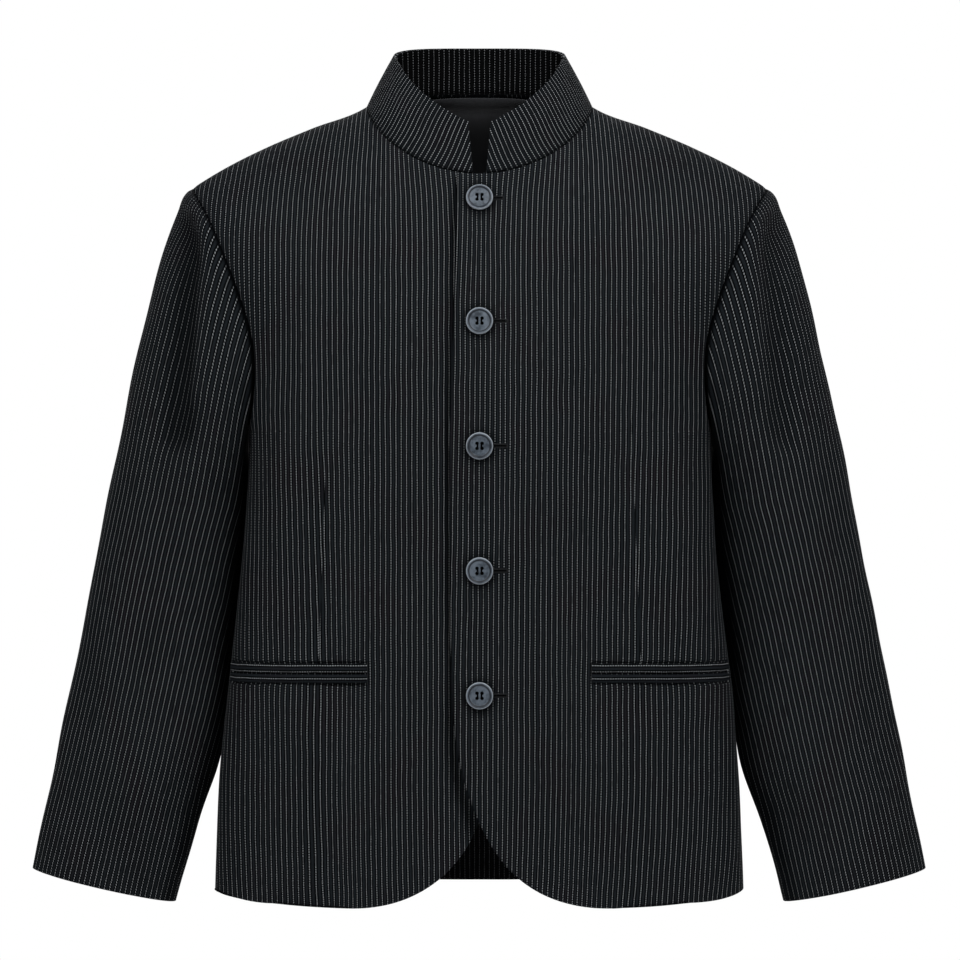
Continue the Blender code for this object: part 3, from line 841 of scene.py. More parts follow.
@dataclass
class Trunk:
    """Sizes of the trunk and of the seams that its panels share.

    Attributes:
        sections: Height, half width, front depth and back depth of level sections.
        shoulder_line: Across and height of the shoulder's ridge.
        armhole: Height of the armhole seam, and how far across it lies in front and behind.
    """

    sections: Table = (
        (-0.677, 0.2260, 0.118, 0.114),
        (-0.596, 0.2230, 0.117, 0.113),
        (-0.510, 0.2165, 0.116, 0.109),
        (-0.424, 0.2065, 0.115, 0.105),
        (-0.340, 0.2000, 0.117, 0.107),
        (-0.280, 0.1975, 0.119, 0.112),
        (-0.200, 0.2070, 0.116, 0.119),
        (-0.150, 0.2270, 0.110, 0.119),
        (-0.100, 0.2520, 0.099, 0.114),
        (-0.060, 0.2760, 0.086, 0.104),
        (0.000, 0.3000, 0.075, 0.080),
        (0.060, 0.3100, 0.068, 0.070),
    )
    shoulder_line: Table = (
        (-0.050, 0.040),
        (0.000, 0.064),
        (0.050, 0.040),
        (0.097, 0.000),
        (0.144, -0.0185),
        (0.181, -0.0340),
        (0.221, -0.0540),
        (0.2475, -0.0700),
    )
    armhole: Table = (
        (-0.280, 0.1975, 0.1975),
        (-0.264, 0.1935, 0.1955),
        (-0.240, 0.1905, 0.1950),
        (-0.205, 0.1915, 0.1985),
        (-0.170, 0.2010, 0.2060),
        (-0.133, 0.2150, 0.2170),
        (-0.093, 0.2330, 0.2335),
        (-0.070, 0.2475, 0.2475),
    )
    hem_height: float = -0.677
    hem_sweep: float = 0.010
    hem_sweep_start: float = 0.28
    underarm: float = -0.280
    seam_plane: float = 0.004
    flatness: float = 0.36
    front_squareness: float = 3.6
    back_squareness: float = 2.9
    front_roll: float = 0.120
    back_roll: float = 0.095
    shoulder_tip: float = 0.2475
    edge_line: Table = (
        (-0.677, 0.0262),
        (-0.647, 0.0244),
        (-0.628, 0.0228),
        (-0.611, 0.0216),
        (-0.560, 0.0216),
        (-0.520, 0.0223),
        (-0.450, 0.0243),
        (-0.387, 0.0248),
        (-0.188, 0.0244),
        (-0.101, 0.0213),
        (-0.0634, 0.0187),
    )
    edge_corner_drop: float = 0.0015
    cutaway_width: float = 0.138
    cutaway_height: float = 0.182
    cutaway_roundness: float = 2.3
    layer_step: float = 0.0024
    overlap_flat: float = 0.032
    overlap_fade: float = 0.055
    neck_half_width: float = 0.097
    neck_front: float = -0.0634
    neck_back: float = 0.018
    neck_back_power: float = 3
    neck_drop_power: float = 1.28
    collar_end: float = 0.0055
    cutaway_rows: int = 46
    pocket_rows: int = 46
    pocket_band_top: float = -0.466
    waist_rows: int = 42
    upper_rows: int = 74
    edge_columns: int = 14
    neck_columns: int = 64
    shoulder_columns: int = 40
    back_neck_columns: int = 38
    edge_crowding: float = 0.35

    def __post_init__(self) -> None:
        """Turn the tables into curves and the outlines into sections."""
        self.half_width = smooth_curve(self.sections, 1)
        front_depth = smooth_curve(self.sections, 2)
        back_depth = smooth_curve(self.sections, 3)
        self.shoulder_height = smooth_curve(self.shoulder_line, 1)
        self.front = QuarterSection(
            self, self.front_squareness, lambda z: -front_depth(z), self.front_roll
        )
        self.back = QuarterSection(self, self.back_squareness, back_depth, self.back_roll)
        self.upper_steps = (1 - np.cos(np.linspace(0, math.pi, self.upper_rows + 1))) / 2

    def neck_point(self, angle: Array) -> tuple[Array, Array]:
        """Across and height of the neck seam, from centre front (0) to centre back (180)."""
        turn = np.radians(angle)
        front = self.neck_front * np.clip(np.cos(turn), 0, 1) ** self.neck_drop_power
        back = self.neck_back * (1 - np.sin(turn) ** self.neck_back_power)
        return self.neck_half_width * np.sin(turn), front + np.where(angle > 90, back, 0)

    def cutaway(self) -> tuple[Array, Array]:
        """Heights of the rounded front corner's rows, and how far each starts from the edge."""
        turn = np.linspace(0, math.pi / 2, self.cutaway_rows + 1)
        rise = np.sin(turn) ** (2 / self.cutaway_roundness)
        back = np.cos(turn) ** (2 / self.cutaway_roundness)
        order = np.argsort(-back)
        heights = self.hem_height + self.cutaway_height * (1 - back[order])
        return heights, self.cutaway_width * (1 - rise[order])

    def lower_heights(self) -> Array:
        """Heights of the level rows from the hem to the underarm, close together at the pockets."""
        corner, _ = self.cutaway()
        pocket = np.linspace(corner[-1], self.pocket_band_top, self.pocket_rows + 1)
        waist = np.linspace(self.pocket_band_top, self.underarm, self.waist_rows + 1)
        return np.concatenate([corner, pocket[1:], waist[1:]])

    def front_edge(self, height: Array) -> Array:
        """How far the front edge passes the centre."""
        return smooth_curve(self.edge_line, 1)(height)

    def swept(self, height: Array, share: Array) -> Array:
        """A level row lifted towards the side near the hem."""
        low = 1 - smooth_step((height - self.hem_height) / self.cutaway_height)
        start = self.hem_sweep_start
        return height + self.hem_sweep * low * smooth_step((np.abs(share) - start) / (1 - start))

    def front_neck_angles(self) -> Array:
        """Angles of the front's columns along the neck, from its edge to the shoulder."""
        edge = -math.degrees(math.asin(self.edge_line[-1][1] / self.neck_half_width))
        end = math.degrees(math.asin(self.collar_end / self.neck_half_width))
        past = np.linspace(edge, end, self.edge_columns + 1)[:-1]
        return np.concatenate([past, np.linspace(end, 90, self.neck_columns)])

    def seam_top(self, section: QuarterSection, angles: Array) -> tuple[Array, Array]:
        """Shares and heights along the neck seam and then the shoulder seam."""
        neck_x, neck_z = self.neck_point(angles)
        shoulder = np.linspace(self.neck_half_width, self.shoulder_tip, self.shoulder_columns + 1)
        x = np.concatenate([neck_x, shoulder[1:]])
        z = np.concatenate([neck_z, self.shoulder_height(shoulder[1:])])
        return section.share_at(x, z), z

    def upper(
        self, section: QuarterSection, under: Array, top: tuple[Array, Array], column: int
    ) -> tuple[list[Array], list[Array]]:
        """Follow a panel from the underarm up to the neck and shoulder seams.

        Args:
            section: The panel's section.
            under: Shares of its columns at the underarm.
            top: Shares and heights of its columns at the top.
            column: The armhole table's column for this panel.

        Returns:
            Shares and heights of the rows.
        """
        armhole = smooth_curve(self.armhole, column)
        reach = np.linspace(0, 1, len(under)) ** 3
        shares, heights = [], []
        for q in self.upper_steps[1:]:
            height = self.underarm + q * (top[1] - self.underarm)
            straight = (1 - q) * under + q * top[0]
            edge = section.share_at(armhole(height[-1]), height[-1])
            shares.append(straight + (edge - straight[-1]) * reach)
            heights.append(height)
        return shares, heights

    def front_grid(self, raised: bool) -> tuple[Array, Array]:
        """Lay out a front on the wearer's left.

        Args:
            raised: True for the front that lies on top.

        Returns:
            Points from the hem up and from the edge out, and their heights before the sweep.
        """
        top_share, top_height = self.seam_top(self.front, self.front_neck_angles())
        past = self.edge_columns
        top_height[:past] -= self.edge_corner_drop * (1 - np.arange(past) / past)
        even = np.linspace(0, 1, len(top_share))
        spread = even + self.edge_crowding * (even**2 - even)
        corner, start = self.cutaway()
        shares, heights = [], []
        for height in self.lower_heights():
            x = np.interp(height, corner, start, right=0) - self.front_edge(height)
            first = self.front.share_at(x, height)
            shares.append(first + (1 - first) * spread)
            heights.append(self.swept(height, shares[-1]))
        more = self.upper(self.front, shares[-1], (top_share, top_height), 1)
        height = np.array(heights + more[1])
        points = self.front.points(np.array(shares + more[0]), height)
        if raised:
            points[..., 1] -= self.lift(points[..., 0])
        return points, height

    def lift(self, x: Array) -> Array:
        """How far the top layer stands out from the one beneath."""
        return self.layer_step * (1 - smooth_step((x - self.overlap_flat) / self.overlap_fade))

    def back_grid(self) -> tuple[Array, Array]:
        """Points of the back from the hem up and from right to left, and their heights."""
        angles = np.linspace(180, 90, self.back_neck_columns + 1)
        top = self.seam_top(self.back, angles)
        spread = np.linspace(0, 1, len(top[0]))
        lower = self.lower_heights()
        shares = [spread] * len(lower)
        heights = [self.swept(height, spread) for height in lower]
        more = self.upper(self.back, spread, top, 2)
        height = np.array(heights + more[1])
        half = self.back.points(np.array(shares + more[0]), height)
        points = np.concatenate([mirrored(half)[:, :0:-1], half], axis=1)
        return points, np.concatenate([height[:, :0:-1], height], axis=1)

    def front_spot(self, x: Array, height: Array, raised: bool) -> tuple[Array, Array]:
        """Find places on a front's lower part.

        Args:
            x: Places across.
            height: Their heights.
            raised: True for the front that lies on top.

        Returns:
            Points on the cloth and their outward normals.
        """
        step = 0.0005

        def spot(dx: float, dz: float) -> Array:
            """Points a little to one side."""
            found = self.front.points(self.front.share_at(x + dx, height + dz), height + dz)
            if raised:
                found[..., 1] -= self.lift(x + dx)
            return found

        sideways = spot(step, 0) - spot(-step, 0)
        upward = spot(0, step) - spot(0, -step)
        return spot(0, 0), unit(np.cross(sideways, upward))


@dataclass
class Pockets:
    """A jetted pocket on each front: two welts in a slit, closed at its inner end."""

    trunk: Trunk
    start: float = 0.093
    length: float = 0.146
    top: float = -0.4735
    slope: float = 0.0015
    upper_width: float = 0.0075
    lower_width: float = 0.0074
    slit: float = 0.0012
    stand: float = 0.0015
    ditch: float = 0.0016
    ditch_width: float = 0.0011
    ditch_end: float = 0.003
    sink: float = 0.0006
    sink_width: float = 0.009
    seam_gap: float = 0.0004
    stripe_step: float = 0.0051
    upper_stripe: float = 0.0016
    lower_stripe: float = 0.0038

    def x_at(self, run: Array) -> Array:
        """Place across at a length along the pocket."""
        x = np.linspace(self.start, self.trunk.half_width(self.top), 4000)
        arc = self.trunk.front.arc_at(x, self.top)
        return np.interp(arc[0] + run, arc, x)

    def line(self, run: Array, below: float) -> tuple[Array, Array]:
        """Place across and height of a line along the pocket, this far below its top."""
        return self.x_at(run), self.top - below - self.slope * run / self.length

    def borders(self) -> tuple[float, ...]:
        """Distances below the top where the cloth dips: both seams and the slit."""
        slit = self.upper_width + self.slit / 2
        bottom = self.upper_width + self.slit + self.lower_width
        return -self.seam_gap, slit, bottom + self.seam_gap

    def relief(self, arc: Array, height: Array) -> Array:
        """Ditches of the front around the welts.

        Args:
            arc: Length round the front from the centre.
            height: Height of each point.

        Returns:
            Depth of the ditches, below zero.
        """
        first = float(self.trunk.front.arc_at(self.start, self.top))
        run = arc - first
        inside = ramp(run, -0.001, self.ditch_end) * smooth_step((self.length - run) / self.ditch_end)
        below = self.top - height - self.slope * np.clip(run / self.length, 0, 1)
        total = np.zeros_like(arc)
        for place in self.borders():
            total -= self.ditch * bell(below - place, self.ditch_width)
        middle = self.borders()[-1] / 2
        total -= self.sink * np.exp(-(((below - middle) / self.sink_width) ** 4))
        return total * inside

    def welt(self, raised: bool, below: float, width: float, stripe: float) -> ClothGrid:
        """Make a welt from the front's own points.

        Args:
            raised: True for the front that lies on top.
            below: Distance of its top edge below the pocket's top.
            width: Its width.
            stripe: Distance of its first stripe below its top edge.

        Returns:
            The welt's grid on the wearer's left.
        """
        share = np.linspace(0, 1, 13)
        run = np.linspace(0.0004, self.length, 90)
        crown = np.clip(1 - np.abs(2 * share - 1) ** 2.6, 0, 1) ** 0.5
        points = []
        for part, rise in zip(share, crown):
            x, z = self.line(run, below + width * (1 - part))
            spot, normal = self.trunk.front_spot(x, z, raised)
            points.append(spot + normal * (self.stand * (-0.25 + 1.2 * rise)))
        pitch = Suiting().pitch
        depth = (width * (1 - share) - stripe) * pitch / self.stripe_step
        across = np.repeat(depth[:, None], len(run), axis=1)
        along = np.repeat(run[None], len(share), axis=0)
        return ClothGrid(np.array(points), across, along, wall=0.0011)

    def build(
        self, side: Side, cloth: bpy.types.Material, thread: bpy.types.Material
    ) -> list[bpy.types.Object]:
        """Build one pocket.

        Args:
            side: The front that it is in.
            cloth: The welts' finish.
            thread: The end stitches' finish.

        Returns:
            The two welts and the end stitching.
        """
        raised = side is Side.LEFT
        word = side.name.lower()
        lower = self.upper_width + self.slit
        pieces = []
        for place, below, width, stripe in (
            ("upper", 0.0, self.upper_width, self.upper_stripe),
            ("lower", lower, self.lower_width, self.lower_stripe),
        ):
            grid = self.welt(raised, below, width, stripe)
            grid = grid if raised else grid.mirror()
            piece = grid.make(f"welt_{word}_{place}", cloth)
            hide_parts(f"pocket_{word}_{place}_welt")
            pieces.append(piece)
        pieces.append(self.end_stitches(side, thread))
        return pieces

    def end_stitches(self, side: Side, thread: bpy.types.Material) -> bpy.types.Object:
        """Close the pocket's inner end with an upright row of stitches.

        Args:
            side: The front that it is in.
            thread: The stitches' finish.

        Returns:
            The stitches.
        """
        total = self.borders()[-1] + 0.0010
        edges = np.linspace(-0.0012, total, 9)
        paths = []
        for high, low in zip(edges[:-1], edges[1:]):
            x, z = self.line(np.zeros(5) + 0.0001, 0.0)
            z = z - np.linspace(high, low, 5)
            spot, normal = self.trunk.front_spot(x, z, side is Side.LEFT)
            bow = np.array([-0.6, 0.6, 1.0, 0.6, -0.6])[:, None]
            path = spot + normal * (0.0001 + 0.0003 * bow)
            paths.append(path if side is Side.LEFT else mirrored(path))
        name = f"pocket_end_{side.name.lower()}"
        piece = add_piece(name, cord_mesh(name, paths, 0.00042), thread)
        return piece


@dataclass
class Panels:
    """The two fronts and the back, sewn at the sides and shoulders and dipped at their seams."""

    trunk: Trunk
    pockets: Pockets
    buttons: "Buttons"
    seam_depth: float = 0.0011
    seam_width: float = 0.0034
    calm: float = 0.045
    wave: float = 0.00055
    dart_top: float = -0.262
    dart_take_up: float = 0.0036
    dart_line: Table = ((-0.480, 0.1345), (-0.380, 0.1305), (-0.262, 0.1260))
    dart_fade: float = 0.16
    left_stripe: float = 0.0008
    right_stripe: float = 0.0048
    lap_depth: Pair = (0.0042, 0.0140)
    lap_width: Pair = (0.0050, 0.0240)
    lap_fall: Pair = (-0.470, -0.610)
    edge_squeeze: float = 0.062
    hem_lean: float = 0.30
    neck_lean: float = 0.70
    shoulder_lean: float = 0.75
    edge_lean: float = 0.0021
    lean_top: float = -0.215
    lean_length: float = 0.27
    lean_left: Table = (
        (-0.024, 0.0170),
        (-0.016, 0.0160),
        (-0.008, 0.0110),
        (0.017, 0.0070),
        (0.045, 0.0062),
        (0.066, 0.0045),
        (0.083, 0.0115),
        (0.100, 0.0148),
        (0.118, 0.0150),
        (0.140, 0.0075),
        (0.175, 0),
    )
    lean_right: Table = (
        (0.050, 0),
        (0.098, 0.0030),
        (0.116, 0.0160),
        (0.128, 0.0165),
        (0.145, 0.0050),
        (0.175, 0),
    )
    hem_lean_top: float = -0.54
    hem_lean_right: float = 0.45
    upper_lean_start: float = -0.13
    still_edge: Pair = (0.012, 0.05)
    lap_calm: float = 0.025
    tuck: float = 0.0035
    tuck_past: float = -0.0003
    # Painted shade under the lap, round the buttons, by the armhole, on the shoulder and by the left
    # front's edge.
    lap_shade: float = 0.80
    lap_shade_gain: float = 1.25
    lap_shade_fall: Pair = (-0.585, -0.635)
    button_shade: float = 0.62
    button_shade_width: float = 0.0042
    button_shade_drop: float = 0.0006
    armhole_shade: float = 0.30
    armhole_shade_width: float = 0.0016
    shoulder_shade: float = 0.15
    shoulder_across: Pair = (0.09, 0.06)
    shoulder_up: Pair = (-0.115, 0.075)
    edge_shade: float = 0.50
    edge_shade_width: float = 0.0013
    front_folds: tuple[Fold, ...] = (
        Fold((0.150, -0.100), (0.178, -0.235), 0.016, -0.0010),
        Fold((0.196, -0.150), (0.182, -0.215), 0.010, 0.0009),
        Fold((0.120, -0.560), (0.150, -0.672), 0.020, 0.0010),
        Fold((0.182, -0.540), (0.196, -0.668), 0.018, -0.0012),
        Fold((0.166, -0.300), (0.176, -0.455), 0.014, 0.0008),
        Fold((0.060, -0.110), (0.075, -0.330), 0.030, 0.0008),
        Fold((0.045, -0.500), (0.070, -0.650), 0.022, -0.0008),
    )
    back_folds: tuple[Fold, ...] = (
        Fold((0.120, -0.090), (0.165, -0.240), 0.018, -0.0014, Facing.BACK),
        Fold((-0.125, -0.085), (-0.160, -0.250), 0.020, -0.0012, Facing.BACK),
        Fold((-0.060, -0.160), (0.070, -0.175), 0.024, 0.0010, Facing.BACK),
        Fold((0.020, -0.360), (0.110, -0.400), 0.016, -0.0013, Facing.BACK),
        Fold((-0.030, -0.375), (-0.120, -0.395), 0.018, -0.0012, Facing.BACK),
        Fold((0.085, -0.450), (0.120, -0.670), 0.026, 0.0014, Facing.BACK),
        Fold((-0.090, -0.460), (-0.115, -0.670), 0.028, 0.0013, Facing.BACK),
        Fold((0.005, -0.420), (-0.010, -0.670), 0.022, -0.0010, Facing.BACK),
    )

    def seam_dip(self, distance: Array) -> Array:
        """Depth of a seam at a distance from it, below zero."""
        return -self.seam_depth * bell(distance, self.seam_width)

    def tuck_in(self, grid: ClothGrid, *edges: tuple[int, bool]) -> None:
        """Turn in the seam allowances along some edges, by axis and end."""
        for axis, last in edges:
            grid.turn_in(axis, last, self.tuck, self.tuck_past)

    def front(self, side: Side) -> ClothGrid:
        """Make a front's grid.

        Args:
            side: The wearer's side.

        Returns:
            The grid, on its own side.
        """
        raised = side is Side.LEFT
        trunk = self.trunk
        points, height = trunk.front_grid(raised)
        x = points[..., 0]
        across = trunk.front.arc_at(x, height)
        from_side, from_top = run_to_end(points, 1), run_to_end(points, 0)
        waves = undulation(points, self.wave, 11 if raised else 23)
        still = ramp(x, *self.still_edge)
        for distance in (from_side, from_top):
            still = still * smooth_step(distance / self.calm)
        folds = tuple(self.uneven(fold, i, raised) for i, fold in enumerate(self.front_folds))
        relief = (waves + fold_relief(folds, points)) * still
        relief += self.seam_dip(from_side) + self.seam_dip(from_top)
        relief += self.pockets.relief(across, height)
        if not raised:
            relief += self.lap(x, height) * smooth_step(from_top / self.lap_calm)
        offset = self.left_stripe if raised else self.right_stripe
        stripes = trunk.front.arc_at(x, height, True) - offset + self.grain(across, height, side)
        grid = ClothGrid(points, stripes, climb_along(points), self.dart(across, height))
        # Painted shade goes into the front's colour.
        grid.paint_shade(self.painted_shade(points, height, raised))
        grid.raise_by(relief)
        self.tuck_in(grid, (1, True), (0, True))
        return grid if raised else grid.mirror()

    def painted_shade(self, points: Array, height: Array, raised: bool) -> Array:
        """Shade painted on a front by its armhole and edge, on the shoulder, round the buttons and
        under the lap.

        Args:
            points: The front's points.
            height: Height of each point.
            raised: True for the front on top.

        Returns:
            Painted shade from 0 to 1.
        """
        x = points[..., 0]
        shade = self.armhole_shade * bell(run_to_end(points, 1), self.armhole_shade_width)
        outer = ramp(x, *self.shoulder_across)
        shade = shade + self.shoulder_shade * outer * ramp(height, *self.shoulder_up)
        if not raised:
            top, bottom = self.lap_shade_fall
            low = smooth_step((top - height) / (top - bottom))
            lap = -self.lap(x, height) / self.lap_depth[1]
            beneath = self.lap_shade * low * np.clip(lap * self.lap_shade_gain, 0, 1)
            return np.maximum(shade, beneath)
        for index in range(self.buttons.count):
            drop = height - self.buttons.height(index) + self.button_shade_drop
            past = np.hypot(x, drop) - self.buttons.diameter / 2
            ring = bell(np.clip(past, 0, None), self.button_shade_width)
            shade = np.maximum(shade, self.button_shade * ring)
        return np.maximum(shade, self.edge_shade * bell(run_along(points, 1), self.edge_shade_width))

    def lap(self, x: Array, height: Array) -> Array:
        """How far the under front falls back beneath the other front's edge.

        Args:
            x: Place across, on the wearer's left.
            height: Height of each point.

        Returns:
            Depth of the fall, below zero.
        """
        corner, start = self.trunk.cutaway()
        edge = self.trunk.front_edge(height) - np.interp(height, corner, start, right=0)
        low = smooth_step((height - self.lap_fall[0]) / (self.lap_fall[1] - self.lap_fall[0]))
        depth, width = blend(self.lap_depth, low), blend(self.lap_width, low)
        return -depth * (1 - ramp(x, edge, width))

    def grain(self, arc: Array, height: Array, side: Side) -> Array:
        """How far the stripes leave the upright towards the hem, neck, shoulder, edge and dart.

        Args:
            arc: Length round the front from the centre.
            height: Height of each point.
            side: The wearer's side.

        Returns:
            Shift of the stripes towards the centre.
        """
        left = side is Side.LEFT
        below = np.clip(self.hem_lean_top - height, 0, None)
        share = 1.0 if left else self.hem_lean_right
        shift = share * self.hem_lean * below**2 * (0.35 + 4.5 * np.clip(arc, 0, 0.2))
        above = np.clip(height - self.upper_lean_start, 0, None)
        shift = shift + self.shoulder_lean * above**2 * ramp(arc, 0.07, 0.08)
        middle = np.clip(arc / 0.02, 0, 1) * (1 - ramp(arc, 0.05, 0.04))
        shift = shift - self.neck_lean * above**2 * middle
        if left:
            beside = 1 - ramp(arc, -0.012, 0.024)
            shift = shift - self.edge_lean * beside * ramp(height, -0.188, 0.09)
        lean = np.array(self.lean_left if left else self.lean_right)
        fallen = np.clip(self.lean_top - height, 0, self.lean_length)
        shift = shift + np.interp(arc, lean[:, 0], lean[:, 1]) * fallen
        return shift + self.edge_squeeze * np.clip(arc, -0.030, 0.030)

    def uneven(self, fold: Fold, count: int, raised: bool) -> Fold:
        """A fold as it is on one side, a little unlike the other side's."""
        if raised:
            return fold
        shift = 0.006 * math.sin(2.3 * count + 1)
        start = (fold.start[0] + shift, fold.start[1] - 0.014)
        end = (fold.end[0] - shift, fold.end[1] + 0.010 * math.cos(count))
        rise = fold.rise * (0.9 + 0.2 * math.sin(count))
        return Fold(start, end, fold.width * 1.1, rise, fold.facing)

    def dart(self, arc: Array, height: Array) -> Array:
        """Describe the waist dart to the cloth's finish.

        Args:
            arc: Length round the front from the centre.
            height: Height of each point.

        Returns:
            Distance past the dart and what it takes up there, with no shade yet.
        """
        line = smooth_curve(self.dart_line, 1)(height)
        past = np.abs(arc) - np.abs(self.trunk.front.arc_at(line, height))
        mouth = self.pockets.top - self.pockets.upper_width
        taken = np.clip((self.dart_top - height) / (self.dart_top - mouth), 0, 1)
        end = float(self.trunk.front.arc_at(self.pockets.start, mouth)) + self.pockets.length
        beside = smooth_step((np.abs(arc) - end) / 0.02)
        below = beside * (1 - smooth_step((mouth - height) / self.dart_fade))
        taken = np.where(height < mouth, below, taken)
        return np.stack([past, self.dart_take_up * taken, 0 * past], axis=-1)

    def back(self) -> ClothGrid:
        """Make the back's grid."""
        points, height = self.trunk.back_grid()
        across = self.trunk.back.arc_at(points[..., 0], height)
        from_side = np.minimum(run_along(points, 1), run_to_end(points, 1))
        from_top = run_to_end(points, 0)
        still = smooth_step(from_side / self.calm) * smooth_step(from_top / self.calm)
        relief = undulation(points, self.wave * 1.3, 37) + fold_relief(self.back_folds, points)
        relief = relief * still + self.seam_dip(from_side) + self.seam_dip(from_top)
        grid = ClothGrid(points, across, climb_along(points))
        grid.raise_by(relief)
        self.tuck_in(grid, (1, True), (1, False), (0, True))
        return grid


@dataclass
class Sleeve:
    """A set-in sleeve with a full head, a plain cuff and its seam behind the inner arm.

    Attributes:
        sections: Height, across, forward, half width, half depth and tilt from the cuff up.
        broad_folds: Angle, place along, half sizes of both and height, as in the solids.
    """

    trunk: Trunk
    sections: Table = (
        (-0.666, 0.3200, 0.026, 0.0630, 0.038, 13.2),
        (-0.596, 0.3036, 0.016, 0.0645, 0.047, 14.0),
        (-0.553, 0.2920, 0.011, 0.0687, 0.052, 12.5),
        (-0.510, 0.2838, 0.006, 0.0682, 0.056, 11.5),
        (-0.424, 0.2705, 0.000, 0.0651, 0.064, 10.5),
        (-0.338, 0.2580, -0.004, 0.0613, 0.074, 10.0),
    )
    broad_folds: Table = (
        (62, 0.20, 24, 0.16, -0.0030),
        (105, 0.22, 26, 0.17, 0.0028),
        (120, 0.60, 34, 0.10, -0.0025),
        (235, 0.52, 32, 0.09, -0.0028),
        (290, 0.24, 28, 0.16, 0.0026),
    )
    cap_at_tip: Colour = (0.80, 0.0, -0.60)
    cap_at_underarm: Colour = (0.36, 0.0, -0.93)
    cap_fullness: float = 0.28
    pull_tip: float = 0.30
    pull_underarm: float = 0.65
    pull_ring: float = 0.90
    cap_row_power: float = 1.4
    fold_start: float = 0.12
    cap_rows: int = 60
    arm_rows: int = 75
    seam_angle: float = 205
    straight_grain: float = 70
    lean: float = 0.20
    flare: float = 0.20
    flare_reach: float = 0.020
    flatness: Table = ((0, 1), (0.12, 0.85), (0.35, 0.45), (0.7, 0.6), (0.9, 0.8), (1, 0.8))
    twist: Table = ((0.0, 0.0), (0.18, 0.017), (0.29, 0.024), (0.39, 0.0265), (0.7, 0.0265))
    wave: float = 0.0006
    calm_top: float = 0.035
    calm_seam: float = 0.02
    top_dip: Pair = (0.0010, 0.0032)
    seam_dip: Pair = (0.0005, 0.0022)
    rope: float = 0.0012
    rope_place: float = 0.011
    rope_width: float = 0.008
    allowance: Pair = (0.0024, 0.005)
    # Painted shade by the armhole seam, in the creases, all over the sleeve and on its side towards
    # the body.
    seam_shade: float = 0.92
    seam_shade_width: Pair = (0.0022, 0.0075)
    crease_shade: Pair = (0.30, 0.58)
    fall_shade: float = 0.06
    inner_shade: Pair = (0.93, 0.55)
    inner_angles: Pair = (136, 156)
    inner_top: Pair = (-0.17, -0.23)
    inner_low: Pair = (-0.42, -0.58)
    crease_depth: float = 0.006
    folds: tuple[Fold, ...] = (
        Fold((0.249, -0.108), (0.254, -0.285), 0.013, -0.0066),
        Fold((0.226, -0.118), (0.231, -0.250), 0.011, 0.0036),
        Fold((0.262, -0.240), (0.258, -0.330), 0.012, -0.0010),
        Fold((0.236, -0.350), (0.262, -0.420), 0.012, 0.0012),
        Fold((0.252, -0.395), (0.286, -0.470), 0.014, -0.0012),
        Fold((0.244, -0.470), (0.300, -0.520), 0.012, 0.0011),
        Fold((0.330, -0.590), (0.348, -0.645), 0.011, 0.0010),
        Fold((0.262, -0.600), (0.282, -0.660), 0.012, -0.0010),
        Fold((0.316, -0.430), (0.332, -0.520), 0.014, -0.0009),
        Fold((0.235, -0.130), (0.240, -0.290), 0.015, -0.0022, Facing.BACK),
        Fold((0.262, -0.140), (0.270, -0.300), 0.016, 0.0018, Facing.BACK),
        Fold((0.250, -0.420), (0.310, -0.470), 0.014, -0.0022, Facing.BACK),
        Fold((0.255, -0.475), (0.318, -0.510), 0.013, -0.0018, Facing.BACK),
        Fold((0.270, -0.560), (0.330, -0.575), 0.015, 0.0012, Facing.BACK),
    )

    def angles(self, armhole: Array) -> Array:
        """Angles round the sleeve of the armhole's points: shoulder 0, front 90, underarm 180."""
        tip = len(armhole) // 2
        steps = np.linalg.norm(np.diff(armhole, axis=0, append=armhole[:1]), axis=1)
        run = np.concatenate([[0], np.cumsum(steps)])
        front = 180 * (1 - run[: tip + 1] / run[tip])
        back = 360 - 180 * (run[tip + 1 : -1] - run[tip]) / (run[-1] - run[tip])
        return np.concatenate([front, back])

    def leaving(self, angle: Array) -> Array:
        """Directions in which the sleeve leaves the armhole seam."""
        share = ((1 + np.cos(angle)) / 2)[:, None]
        forward = -self.cap_fullness * np.sin(angle)[:, None] * np.array([0, 1, 0])
        tip, under = np.array(self.cap_at_tip), np.array(self.cap_at_underarm)
        return unit(share * tip + (1 - share) * under + forward)

    def rings(self, angle: Array) -> Array:
        """Points of the arm's sections from the cap down to the cuff."""
        heights = np.linspace(self.sections[-1][0], self.sections[0][0], self.arm_rows + 1)
        across, forward, wide, deep, tilt = (
            smooth_curve(self.sections, column)(heights) for column in range(1, 6)
        )
        tilt = np.radians(tilt)
        centre = np.stack([across, self.trunk.seam_plane - forward, heights], axis=-1)
        outward = np.stack([np.cos(tilt), 0 * tilt, np.sin(tilt)], axis=-1)
        side = (wide[:, None] * np.cos(angle))[..., None] * outward[:, None]
        ahead = (deep[:, None] * np.sin(angle))[..., None] * np.array([0, -1, 0])
        return centre[:, None] + side + ahead

    def outline(self, armhole: Array) -> tuple[Array, Array]:
        """Lay the sleeve out from its armhole.

        Args:
            armhole: Points of the seam, up the front and down the back.

        Returns:
            Points from the armhole to the cuff, and the angle of each column.
        """
        degrees = self.angles(armhole)
        angle = np.radians(degrees)
        rings = self.rings(angle)
        leaving = self.leaving(angle)
        span = np.linalg.norm(rings[0] - armhole, axis=1)[:, None]
        arriving = unit(rings[1] - rings[0])
        low = (1 - np.cos(angle)[:, None]) / 2
        pull = blend((self.pull_tip, self.pull_underarm), low)
        cap = []
        for t in np.linspace(0, 1, self.cap_rows + 1)[:-1] ** self.cap_row_power:
            start = (1 + 2 * t) * armhole + t * span * pull * leaving
            end = (3 - 2 * t) * rings[0] + (t - 1) * span * self.pull_ring * arriving
            cap.append((1 - t) ** 2 * start + t * t * end)
        return np.concatenate([np.array(cap), rings]), degrees

